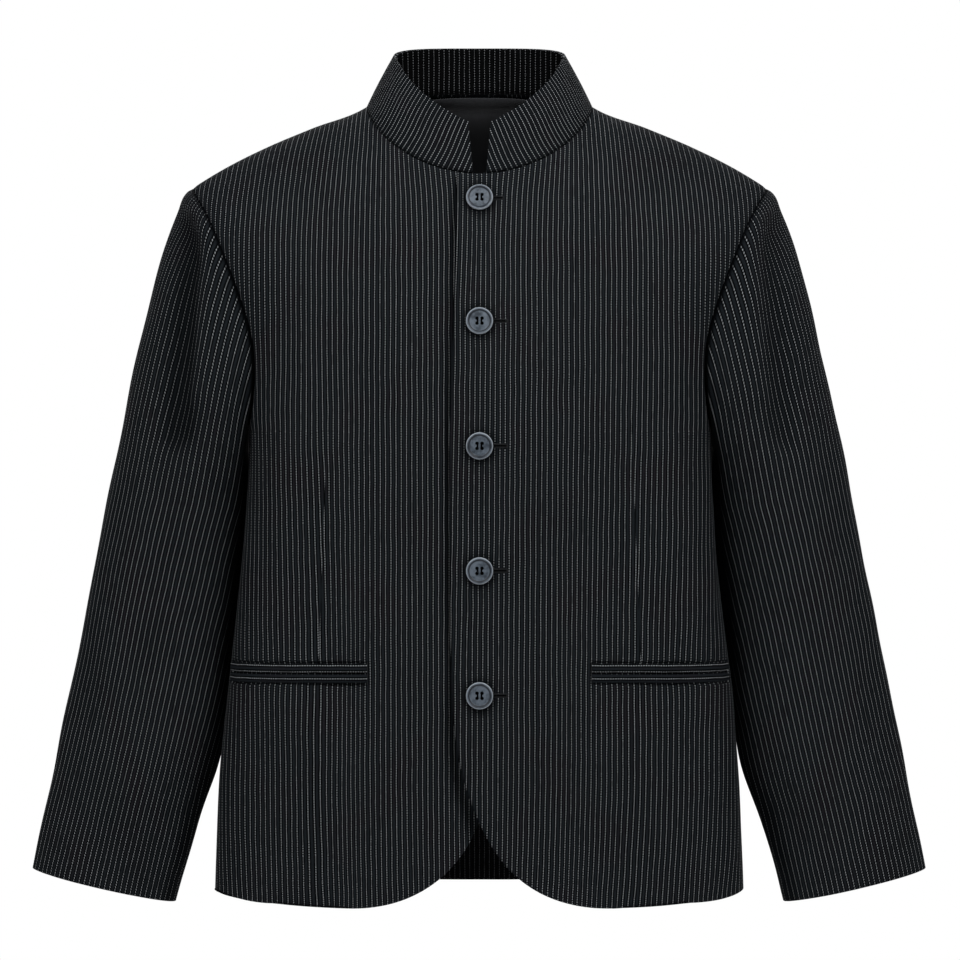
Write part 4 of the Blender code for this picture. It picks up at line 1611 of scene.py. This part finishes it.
    def relief(self, points: Array, degrees: Array) -> Array:
        """Height of the broad folds that the solids have."""
        along = np.linspace(0, 1, len(points))[:, None]
        total = np.zeros(points.shape[:2])
        for angle, place, half_angle, half_along, rise in self.broad_folds:
            turn = (degrees - angle + 180) % 360 - 180
            total += rise * np.exp(-((turn / half_angle) ** 2) - ((along - place) / half_along) ** 2)
        return total * smooth_step(along / self.fold_start)

    def grid(self, armhole: Array, side: Side) -> ClothGrid:
        """Make the sleeve's grid.

        Args:
            armhole: Points of the left armhole, up the front and down the back.
            side: The wearer's side.

        Returns:
            The grid, on its own side.
        """
        points, degrees = self.opened(armhole)
        from_top = run_along(points, 0)
        relief = self.creases(points, degrees, side)
        across = self.stripes(points, degrees, from_top)
        grid = ClothGrid(points, across, -from_top, closed=True)
        # Painted shade goes into the sleeve's colour.
        grid.paint_shade(self.shade(points, degrees, relief, side))
        grid.raise_by(relief)
        grid.turn_in(0, False, *self.allowance)
        return grid if side is Side.LEFT else grid.mirror()

    def opened(self, armhole: Array) -> tuple[Array, Array]:
        """Open the sleeve along its seam and give it the solids' broad folds.

        Args:
            armhole: Points of the left armhole, up the front and down the back.

        Returns:
            Points whose last column repeats the first, and the angle of each column.
        """
        points, degrees = self.outline(armhole)
        seam = int(np.argmin(np.abs(degrees - self.seam_angle)))
        points = np.roll(points, -seam, axis=1)
        degrees = np.roll(degrees, -seam)
        points = np.concatenate([points, points[:, :1]], axis=1)
        degrees = np.append(degrees, degrees[0])
        relief = self.relief(points, degrees)[..., None]
        return points + outward_normals(points, True) * relief, degrees

    def stripes(self, points: Array, degrees: Array, from_top: Array) -> Array:
        """Place across the stripes, measured on the pressed sleeve and twisted as it hangs.

        Args:
            points: The sleeve's points.
            degrees: Angle of each column.
            from_top: Distance from the armhole.

        Returns:
            Place across the stripes at each point.
        """
        turned = np.abs((degrees - self.straight_grain + 180) % 360 - 180)
        across = self.flattened(points)
        across = across - across[:, [int(np.argmin(turned))]]
        across = across - smooth_curve(self.twist, 1)(from_top)
        ring = across[self.cap_rows]
        across[: self.cap_rows] = self.cap_across(points, ring, degrees, from_top)
        return across

    def creases(self, points: Array, degrees: Array, side: Side) -> Array:
        """Height of the sleeve's own waves, folds, seams and roped head.

        Args:
            points: The sleeve's points.
            degrees: Angle of each column.
            side: The wearer's side.

        Returns:
            Height at each point.
        """
        from_top = run_along(points, 0)
        from_seam = np.minimum(run_along(points, 1), run_to_end(points, 1))
        folds = tuple(self.uneven(fold, i, side) for i, fold in enumerate(self.folds))
        relief = undulation(points, self.wave, 51 if side is Side.LEFT else 67)
        relief = relief + fold_relief(folds, points)
        relief = relief * smooth_step(from_top / self.calm_top)
        relief = relief * smooth_step(from_seam / self.calm_seam)
        for distance, (depth, width) in ((from_top, self.top_dip), (from_seam, self.seam_dip)):
            relief -= depth * bell(distance, width)
        head = ramp(np.cos(np.radians(degrees)), -0.25, 1.0)
        return relief + self.rope * head * bell(from_top - self.rope_place, self.rope_width)

    def shade(self, points: Array, degrees: Array, relief: Array, side: Side) -> Array:
        """Shade painted on the sleeve: a little all over, and more by its armhole, in its creases and
        towards the body.

        Args:
            points: The sleeve's points.
            degrees: Angle of each column.
            relief: Height of its creases.
            side: The wearer's side.

        Returns:
            Painted shade, 0 for none and 1 for full.
        """
        low = np.clip((1 - np.cos(np.radians(degrees))) / 2, 0, 1) ** 2
        seam = bell(run_along(points, 0), blend(self.seam_shade_width, low))
        crease = self.crease_shade[0 if side is Side.LEFT else 1]
        crease = crease * np.clip(-relief / self.crease_depth, 0, 1)
        return self.fall_shade + self.seam_shade * seam + crease + self.painted_inner_shade(points, degrees)

    def painted_inner_shade(self, points: Array, degrees: Array) -> Array:
        """Shade painted on the sleeve's side towards the body, less so below it.

        Args:
            points: The sleeve's points.
            degrees: Angle of each column.

        Returns:
            Shade from 0 to 1.
        """
        height = points[..., 2]
        turned = np.minimum(degrees, 360 - degrees)
        share = self.along_pair(turned, self.inner_angles)
        strength = blend(self.inner_shade, self.along_pair(height, self.inner_low))
        return share * strength * self.along_pair(height, self.inner_top)

    def along_pair(self, value: Array, ends: Pair) -> Array:
        """Rise smoothly from 0 at the first end to 1 at the second."""
        return ramp(value, ends[0], ends[1] - ends[0])

    def flattened(self, points: Array) -> Array:
        """Measure round the sleeve as it lies, pressed flat on its front and back.

        Args:
            points: The sleeve's points.

        Returns:
            Length along each row from its first point.
        """
        facing = np.abs(outward_normals(points, True)[..., 1])
        facing = (facing[:, 1:] + facing[:, :-1]) / 2
        steps = np.diff(points, axis=1)
        steps[..., 1] *= smooth_curve(self.flatness, 1)(facing)
        run = np.cumsum(np.linalg.norm(steps, axis=-1), axis=1)
        return np.concatenate([np.zeros((len(run), 1)), run], axis=1)

    def cap_across(self, points: Array, ring: Array, degrees: Array, from_top: Array) -> Array:
        """Carry the stripes straight up into the sleeve head.

        Args:
            points: The sleeve's points.
            ring: Place across the stripes of the first level ring.
            degrees: Angle of each column.
            from_top: Distance from the armhole.

        Returns:
            Place across the stripes of the rows above that ring.
        """
        level = points[self.cap_rows, :, 2].mean()
        centre = points[self.cap_rows, :, 0].mean()
        side = points[..., 0] - centre + self.lean * (points[..., 2] - level)
        straight = np.repeat(ring[None], self.cap_rows, axis=0)
        for half in (degrees <= 180, degrees > self.seam_angle):
            order = np.argsort(side[self.cap_rows, half])
            at, value = side[self.cap_rows, half][order], ring[half][order]
            here = side[: self.cap_rows, half]
            over = here - np.clip(here, at[0], at[-1])
            straight[:, half] = np.interp(here, at, value) + over * np.sign(value[-1] - value[0])
        ahead = np.sin(np.radians(degrees))
        flare = np.exp(-from_top[: self.cap_rows] / self.flare_reach)
        flare = self.flare * self.flare_reach * flare
        return ring + smooth_step(np.abs(ahead) / 0.65) * (straight - ring) + ahead * flare

    def uneven(self, fold: Fold, count: int, side: Side) -> Fold:
        """A fold as it is on one sleeve, a little unlike the other sleeve's."""
        if side is Side.LEFT:
            return fold
        drop = 0.012 * math.sin(1.7 * count + 0.6)
        start = (fold.start[0] - 0.003 * math.cos(count), fold.start[1] + drop)
        end = (fold.end[0] + 0.004 * math.sin(count), fold.end[1] + drop * 0.5)
        rise = fold.rise * (1 + 0.2 * math.cos(count))
        return Fold(start, end, fold.width * 1.08, rise, fold.facing)


@dataclass
class Collar:
    """A stand collar: one shaped band from the neck seam up, open at the throat."""

    trunk: Trunk
    half_width: float = 0.0738
    front: float = -0.062
    back: float = 0.056
    end_top: float = 0.0095
    rows: int = 16
    wall: float = 0.0026
    lean: float = 0.075
    bend: float = 0.65
    bend_fade: float = 2.2
    crown: float = 0.0007
    allowance: Pair = (0.0060, 0.0020)
    # Painted shade along the neck seam at the collar's foot.
    seam_shade: float = 0.85
    seam_shade_width: float = 0.0017
    top_line: Table = (
        (0, -0.0235),
        (22, -0.0085),
        (50, 0.0160),
        (72, 0.0365),
        (90, 0.0435),
        (120, 0.0515),
        (180, 0.0566),
        (240, 0.0515),
    )

    def grid(self, neck_seam: Array) -> ClothGrid:
        """Make the collar's grid.

        Args:
            neck_seam: Points of the neck seam from the collar's left end to its right end.

        Returns:
            The grid, rows up from the seam.
        """
        trunk = self.trunk
        angles = trunk.front_neck_angles()[trunk.edge_columns :]
        end = math.degrees(math.asin(self.end_top / self.half_width))
        front = end + (angles - angles[0]) * (90 - end) / (90 - angles[0])
        behind = np.linspace(90, 180, trunk.back_neck_columns + 1)[1:]
        left = np.concatenate([front, behind])
        turn = np.concatenate([left, 360 - left[-2::-1]])
        middle, reach = (self.front + self.back) / 2, (self.back - self.front) / 2
        height = smooth_curve(self.top_line, 1)(180 - np.abs(180 - turn))
        turn = np.radians(turn)
        top = [self.half_width * np.sin(turn), middle - reach * np.cos(turn), height]
        climb = np.linspace(0, 1, self.rows + 1)[:, None]
        points = neck_seam + climb[..., None] * (np.stack(top, axis=-1) - neck_seam)
        base = run_along(neck_seam[None], 1)[0]
        base = base - base[len(base) // 2]
        from_end = 1 - np.abs(base) / np.abs(base).max()
        bend = self.bend * np.clip(self.bend_fade * from_end, 0, 1)
        curved = climb + bend * np.sin(2 * math.pi * climb) / (2 * math.pi)
        across = base * (1 - self.lean * curved)
        along = run_along(points, 0)
        relief = self.crown * np.sin(math.pi * climb) + 0 * across
        grid = ClothGrid(points, across, along, wall=self.wall)
        # Painted shade along the neck seam.
        grid.paint_shade(self.seam_shade * bell(along, self.seam_shade_width))
        grid.raise_by(relief)
        grid.turn_in(0, False, *self.allowance)
        return grid


@dataclass
class Lining:
    """Satin inside the back of the neck, from the collar seam down."""

    trunk: Trunk
    drop: float = -0.170
    inset: float = 0.0036
    wall: float = 0.0008
    margin: float = 0.167
    roll: float = 0.0035
    roll_width: float = 0.007
    folds: tuple[Fold, ...] = (
        Fold((-0.070, 0.010), (0.070, 0.010), 0.005, -0.0016, Facing.BACK),
        Fold((-0.060, -0.004), (0.062, -0.003), 0.006, 0.0012, Facing.BACK),
        Fold((0.000, -0.014), (0.002, -0.110), 0.004, 0.0012, Facing.BACK),
        Fold((-0.040, -0.030), (-0.020, -0.120), 0.010, -0.0010, Facing.BACK),
        Fold((0.045, -0.028), (0.030, -0.120), 0.011, -0.0010, Facing.BACK),
    )

    def grid(self) -> ClothGrid:
        """Make the lining's grid behind the back's own cloth."""
        points, height = self.trunk.back_grid()
        middle = points.shape[1] // 2
        reach = round(self.trunk.back_neck_columns * (1 - self.margin))
        rows = height[:, middle] >= self.drop
        normals = outward_normals(points)
        inner = (points - normals * self.inset)[rows, middle - reach : middle + reach + 1]
        roll = self.roll * bell(run_to_end(inner, 0), self.roll_width)
        grid = ClothGrid(inner, run_along(inner, 1), run_along(inner, 0), wall=self.wall)
        grid.raise_by(-np.abs(fold_relief(self.folds, inner)) - roll)
        return grid


@dataclass
class Buttons:
    """Five turned four-hole buttons with their threads and stitched buttonholes."""

    trunk: Trunk
    diameter: float = 0.0225
    edge: float = 0.0032
    dish: float = 0.0023
    hole: float = 0.0030
    spacing: float = 0.0042
    first: float = -0.0855
    pitch: float = 0.1036
    count: int = 5
    clearance: float = 0.0004
    hole_end: float = 0.0220
    profile: Table = (
        (0.0000, 0.0000),
        (0.0096, 0.0000),
        (0.0107, 0.0004),
        (0.01118, 0.0011),
        (0.01125, 0.0018),
        (0.01112, 0.0025),
        (0.01072, 0.00300),
        (0.0101, 0.00320),
        (0.0094, 0.00314),
        (0.0089, 0.00280),
        (0.0086, 0.00235),
        (0.0082, 0.00212),
        (0.0077, 0.00210),
        (0.0070, 0.00224),
        (0.0055, 0.00234),
        (0.0030, 0.00232),
        (0.0000, 0.00230),
    )
    first_hole_end: float = 0.0190
    hole_start: float = 0.0085
    slit_radius: float = 0.00060
    slit_rise: float = 0.00012
    stitch_step: float = 0.00052
    stitch_reach: float = 0.0013
    stitch_rise: float = 0.00042
    stitch_sink: float = 0.0001
    stitch_radius: float = 0.00026
    strand_radius: float = 0.00036
    strand_step: float = 0.00030
    strand_rise: float = 0.00042
    strand_dive: float = 0.0019
    plug_size: float = 3.9

    def height(self, index: int) -> float:
        """Height of a button, counted from 0 at the top."""
        return self.first - self.pitch * index

    def places(self) -> list[Matrix]:
        """Where each button sits, square to the cloth."""
        step = self.diameter / 2
        found = []
        for index in range(self.count):
            height = self.height(index)
            levels = np.array([height - step, height, height + step])
            low, middle, high = self.trunk.front.points(np.zeros(3), levels)
            normal = Vector((1, 0, 0)).cross(Vector(high - low)).normalized()
            spot = Vector(middle) + Vector((0, -self.trunk.layer_step, 0)) + normal * self.clearance
            upward = (Vector((0, 0, 1)) - normal * normal.z).normalized()
            turn = Matrix((upward.cross(normal), upward, normal)).transposed().to_4x4()
            found.append(Matrix.Translation(spot) @ turn)
        return found

    def turned_mesh(self) -> bpy.types.Mesh:
        """Turn a button on its axis and drill its four holes.

        Returns:
            The button facing +Z, its back at the origin.
        """
        bm = bmesh.new()
        verts = [bm.verts.new((r, 0, z)) for r, z in self.profile]
        edges = [bm.edges.new(pair) for pair in zip(verts[:-1], verts[1:])]
        bmesh.ops.spin(
            bm, geom=verts + edges, axis=(0, 0, 1), cent=(0, 0, 0),
            angle=2 * math.pi, steps=64, use_merge=True,
        )
        bmesh.ops.remove_doubles(bm, verts=bm.verts[:], dist=1e-6)
        bmesh.ops.recalc_face_normals(bm, faces=bm.faces[:])
        blank = mesh_from(bm, "button_blank")
        drill = bmesh.new()
        half = self.spacing / 2
        for x in (-half, half):
            for y in (-half, half):
                bmesh.ops.create_cone(
                    drill, cap_ends=True, segments=20, radius1=self.hole / 2,
                    radius2=self.hole / 2, depth=self.edge * 3, matrix=Matrix.Translation((x, y, 0)),
                )
        return self.drilled(blank, mesh_from(drill, "button_drill"))

    def drilled(self, blank: bpy.types.Mesh, rods: bpy.types.Mesh) -> bpy.types.Mesh:
        """Cut rods out of a blank.

        Args:
            blank: The button before drilling.
            rods: What is drilled away.

        Returns:
            The drilled mesh.
        """
        things = [link(mesh.name, mesh) for mesh in (blank, rods)]
        cut = things[0].modifiers.new("holes", "BOOLEAN")
        cut.object = things[1]
        cut.operation = "DIFFERENCE"
        cut.solver = "EXACT"
        mesh = as_seen(things[0])
        for thing in things:
            bpy.data.objects.remove(thing, do_unlink=True)
        return mesh

    def thread_paths(self) -> list[Array]:
        """Strands of the two upright stitches that hold a button, and dark plugs in its holes that
        stand for thread and the shade inside them.
        """
        half = self.spacing / 2
        t = np.linspace(-1, 1, 13)
        paths = []
        for sign in (-1, 1):
            for strand in (-1, 0, 1):
                bow = 0.28 * half * (1 - t**2)
                x = sign * (half - bow) + strand * self.strand_step
                dive = np.clip((np.abs(t) - 0.78) / 0.22, 0, 1) ** 2
                z = self.dish + self.strand_rise - 0.00008 * strand**2 - self.strand_dive * dive
                paths.append(np.stack([x, t * half * 1.04, z], axis=-1))
            for end in (-half, half):
                # Dark plugs in the holes: thread, and painted shade inside the holes.
                plug = [[sign * half, end, z, self.plug_size] for z in (0.0004, self.dish - 0.0006)]
                paths.append(np.array(plug))
        return paths

    def hole_paths(self, height: float, end: float) -> list[Array]:
        """Stitches round one buttonhole.

        Args:
            height: Height of the buttonhole.
            end: How far across it reaches.

        Returns:
            One path for each stitch, on the top front's cloth.
        """
        out = self.slit_radius + np.linspace(0, 1, 5) * self.stitch_reach
        paths = []
        for x in np.arange(self.hole_start, end, self.stitch_step):
            for sign in (-1, 1):
                paths.append(self.stitch(x + 0 * out, height + sign * out))
        for turn in np.radians(np.linspace(-80, 80, 9)):
            paths.append(self.stitch(end + out * math.cos(turn), height + out * math.sin(turn)))
        return paths

    def stitch(self, x: Array, height: Array) -> Array:
        """A stitch through some places on the top front, bowed over the cloth."""
        spot, normal = self.trunk.front_spot(x, height, True)
        bow = np.sin(math.pi * np.linspace(0.2, 1, len(x)))
        return spot + normal * (self.stitch_rise * bow - self.stitch_sink)[:, None]

    def slit_path(self, height: float, end: float) -> Array:
        """Line of the dark cord that stands for the painted shadow in a buttonhole's cut, as far as
        its end.
        """
        x = np.linspace(self.hole_start, end, 24)
        spot, normal = self.trunk.front_spot(x, height + 0 * x, True)
        return spot + normal * self.slit_rise

    def build(
        self, horn: bpy.types.Material, thread: bpy.types.Material, dark: bpy.types.Material
    ) -> tuple[list[bpy.types.Object], list[bpy.types.Object]]:
        """Build the buttons and their buttonholes.

        Args:
            horn: The buttons' finish.
            thread: Finish of the buttonholes' stitches.
            dark: Near-black painted-shadow finish of the threads and plugs in the buttons and of the
                cut inside a buttonhole.

        Returns:
            The sewn-on pieces, and the pieces of the buttonholes.
        """
        blank = self.turned_mesh()
        spots = np.empty(len(blank.vertices) * 3)
        blank.vertices.foreach_get("co", spots)
        radius = np.linalg.norm(spots.reshape(-1, 3)[:, :2], axis=1) / (self.diameter / 2)
        blank.attributes.new(RADIUS_NAME, "FLOAT", "POINT").data.foreach_set("value", radius)
        sewn, cut = [], []
        for index, place in enumerate(self.places(), 1):
            mesh = blank.copy()
            mesh.transform(place)
            button = add_piece(f"horn_button_{index}", mesh, horn)
            mesh.set_sharp_from_angle(angle=math.radians(50))
            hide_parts(f"button_{index}")
            strands = cord_mesh(f"button_thread_{index}", self.thread_paths(), self.strand_radius)
            strands.transform(place)
            sewn += [button, add_piece(strands.name, strands, dark)]
            height = self.height(index - 1)
            end = self.first_hole_end if index == 1 else self.hole_end
            paths = self.hole_paths(height, end)
            stitches = cord_mesh(f"buttonhole_{index}", paths, self.stitch_radius, 1)
            # Painted shadow: a dark cord along each buttonhole's cut.
            paths = [self.slit_path(height, end)]
            slit = cord_mesh(f"buttonhole_slit_shadow_{index}", paths, self.slit_radius, 1)
            cut += [add_piece(stitches.name, stitches, thread), add_piece(slit.name, slit, dark)]
        return sewn, cut


@dataclass
class Studio:
    """A pale floor well below the jacket, soft light and the camera.

    Attributes:
        lamps: Name, place, side and watts of each light.
    """

    lamps: tuple[tuple[str, Colour, float, float], ...] = (
        ("key", (0.75, -1.15, 0.80), 1.1, 26),
        ("fill", (-0.85, -1.1, 0.70), 1.1, 19),
        ("back", (0.0, 2.6, 1.2), 2.0, 60),
    )
    aim_height: float = -0.32
    floor_height: float = -0.95
    floor_half: float = 1.2
    camera_place: Colour = (0.0004, -3.2, -0.321)
    view_width: float = 0.8256
    sensor: float = 36.0
    ambient: float = 0.29

    def build(self) -> None:
        """Set up the floor, the light and the camera."""
        self.floor()
        self.sky()
        for lamp in self.lamps:
            self.lamp(*lamp)
        self.camera()
        bpy.context.scene.view_settings.view_transform = "Standard"

    def floor(self) -> None:
        """Lay the floor."""
        bm = bmesh.new()
        bmesh.ops.create_grid(bm, x_segments=8, y_segments=8, size=self.floor_half)
        bmesh.ops.translate(bm, verts=bm.verts[:], vec=(0, 0, self.floor_height))
        mesh = mesh_from(bm, "floor")
        nodes = Nodes("floor_paper")
        place = nodes.place()
        shade = nodes.mix(nodes.noise(place, 8, 3), (0.86, 0.86, 0.86), (0.90, 0.90, 0.90))
        mesh.materials.append(nodes.dress(Base_Color=shade, Roughness=0.9))
        link("floor", mesh)

    def sky(self) -> None:
        """Surround the scene with even light, white behind the jacket."""
        world = bpy.data.worlds.new("white_studio")
        world.use_nodes = True
        tree = world.node_tree
        place = tree.nodes.new("ShaderNodeTexCoord")
        parts = tree.nodes.new("ShaderNodeSeparateXYZ")
        fade = tree.nodes.new("ShaderNodeMapRange")
        for target, value in zip(fade.inputs[1:5], (0.80, 0.96, self.ambient, 1.0)):
            target.default_value = value
        tree.links.new(place.outputs["Generated"], parts.inputs[0])
        tree.links.new(parts.outputs[1], fade.inputs[0])
        light = tree.nodes["Background"]
        light.inputs["Color"].default_value = (1, 1, 1, 1)
        tree.links.new(fade.outputs[0], light.inputs["Strength"])
        bpy.context.scene.world = world

    def lamp(self, name: str, place: Colour, size: float, power: float) -> None:
        """Hang a square soft light that faces the jacket's middle.

        Args:
            name: Its name.
            place: Where it hangs.
            size: Length of its side.
            power: Its power in watts.
        """
        data = bpy.data.lights.new(name, "AREA")
        data.size = size
        data.energy = power
        lamp = link(name, data)
        lamp.location = place
        aim = Vector((0, 0, self.aim_height)) - Vector(place)
        lamp.rotation_euler = aim.to_track_quat("-Z", "Y").to_euler()

    def camera(self) -> None:
        """Set the camera level in front of the jacket."""
        data = bpy.data.cameras.new("camera")
        data.sensor_width = self.sensor
        data.lens = self.sensor * -self.camera_place[1] / self.view_width
        camera = link("camera", data)
        camera.location = self.camera_place
        camera.rotation_euler = (math.pi / 2, 0, 0)
        bpy.context.scene.camera = camera


@dataclass
class Jacket:
    """The whole jacket, sewn from its pieces."""

    trunk: Trunk = field(default_factory=Trunk)

    def armhole(self, front: Array, back: Array) -> Array:
        """Points of the left armhole seam, up the front and down the back."""
        under = len(self.trunk.lower_heights()) - 1
        return np.concatenate([front[under:, -1], back[under + 1 : -1, -1][::-1]])

    def neck_seam(self, left: Array, right: Array, back: Array) -> Array:
        """Points of the neck seam from the collar's left end to its right end."""
        trunk = self.trunk
        middle = back.shape[1] // 2
        reach = trunk.back_neck_columns
        behind = back[-1, middle - reach + 1 : middle + reach][::-1]
        ends = slice(trunk.edge_columns, trunk.edge_columns + trunk.neck_columns)
        return np.concatenate([left[-1, ends], behind, mirrored(right[-1, ends])[::-1]])

    def build(self) -> None:
        """Build and dress every piece."""
        trunk = self.trunk
        cloth, satin, horn = Suiting().make(), Satin().make(), Horn().make()
        # Painted shade: a darker copy of the cloth for the inner faces of the body pieces and sleeves.
        inside = Suiting(
            "suiting_inside_painted_shade", deep=(0.0003, 0.0003, 0.0004), ground=(0.0011, 0.0012, 0.0014),
            cast=(0.0012, 0.0011, 0.0014), stripe=(0.036, 0.037, 0.039),
        ).make()
        # Painted shade: a darker copy of the cloth for the collar's inner face.
        facing = Suiting(
            "suiting_facing_painted_shade", deep=(0.0003, 0.0003, 0.0004), ground=(0.0022, 0.0024, 0.0027),
            cast=(0.0024, 0.0023, 0.0027), stripe=(0.110, 0.114, 0.119), upright=True,
        ).make()
        # Painted light and shade: a copy of the cloth for the collar, with brighter stripes and a
        # darker ground, set for how the collar takes the light.
        collar_painted_light_and_shade = Suiting(
            "suiting_collar", ground=(0.0050, 0.0062, 0.0074), cast=(0.0055, 0.0052, 0.0064),
            stripe=(0.204, 0.214, 0.225),
        ).make()
        thread = Thread("sewing_thread").make()
        # Painted shadow: a near-black finish for the cut in each buttonhole and the plugs in the
        # button holes, also used for the buttons' real threads.
        dark = Thread(
            "buttonhole_shadow", (0.0012, 0.0013, 0.0016), (0.0004, 0.0004, 0.0006), 0.0
        ).make()
        pockets = Pockets(trunk)
        buttons = Buttons(trunk)
        panels = Panels(trunk, pockets, buttons)
        left, _ = trunk.front_grid(True)
        right, _ = trunk.front_grid(False)
        back, _ = trunk.back_grid()
        sleeve = Sleeve(trunk)
        armhole = self.armhole(left, back)
        collar = Collar(trunk).grid(self.neck_seam(left, right, back))
        grids = {
            "front_left": panels.front(Side.LEFT),
            "front_right": panels.front(Side.RIGHT),
            "back": panels.back(),
            "sleeve_left": sleeve.grid(armhole, Side.LEFT),
            "sleeve_right": sleeve.grid(armhole, Side.RIGHT),
        }
        made = {node: grid.make(f"cloth_{node}", cloth, inside) for node, grid in grids.items()}
        made["collar"] = collar.make("cloth_collar", collar_painted_light_and_shade, facing)
        made["neck_lining"] = Lining(trunk).grid().make("satin_neck_lining", satin)
        for node, piece in made.items():
            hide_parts(node)
        left_pocket = pockets.build(Side.LEFT, cloth, thread)
        right_pocket = pockets.build(Side.RIGHT, cloth, thread)
        sewn, cut = buttons.build(horn, thread, dark)


def main() -> None:
    """Build the jacket and the studio."""
    logging.basicConfig(level=logging.INFO, format="%(name)s: %(message)s")
    Jacket().build()
    Studio().build()


if __name__ == "__main__":
    main()
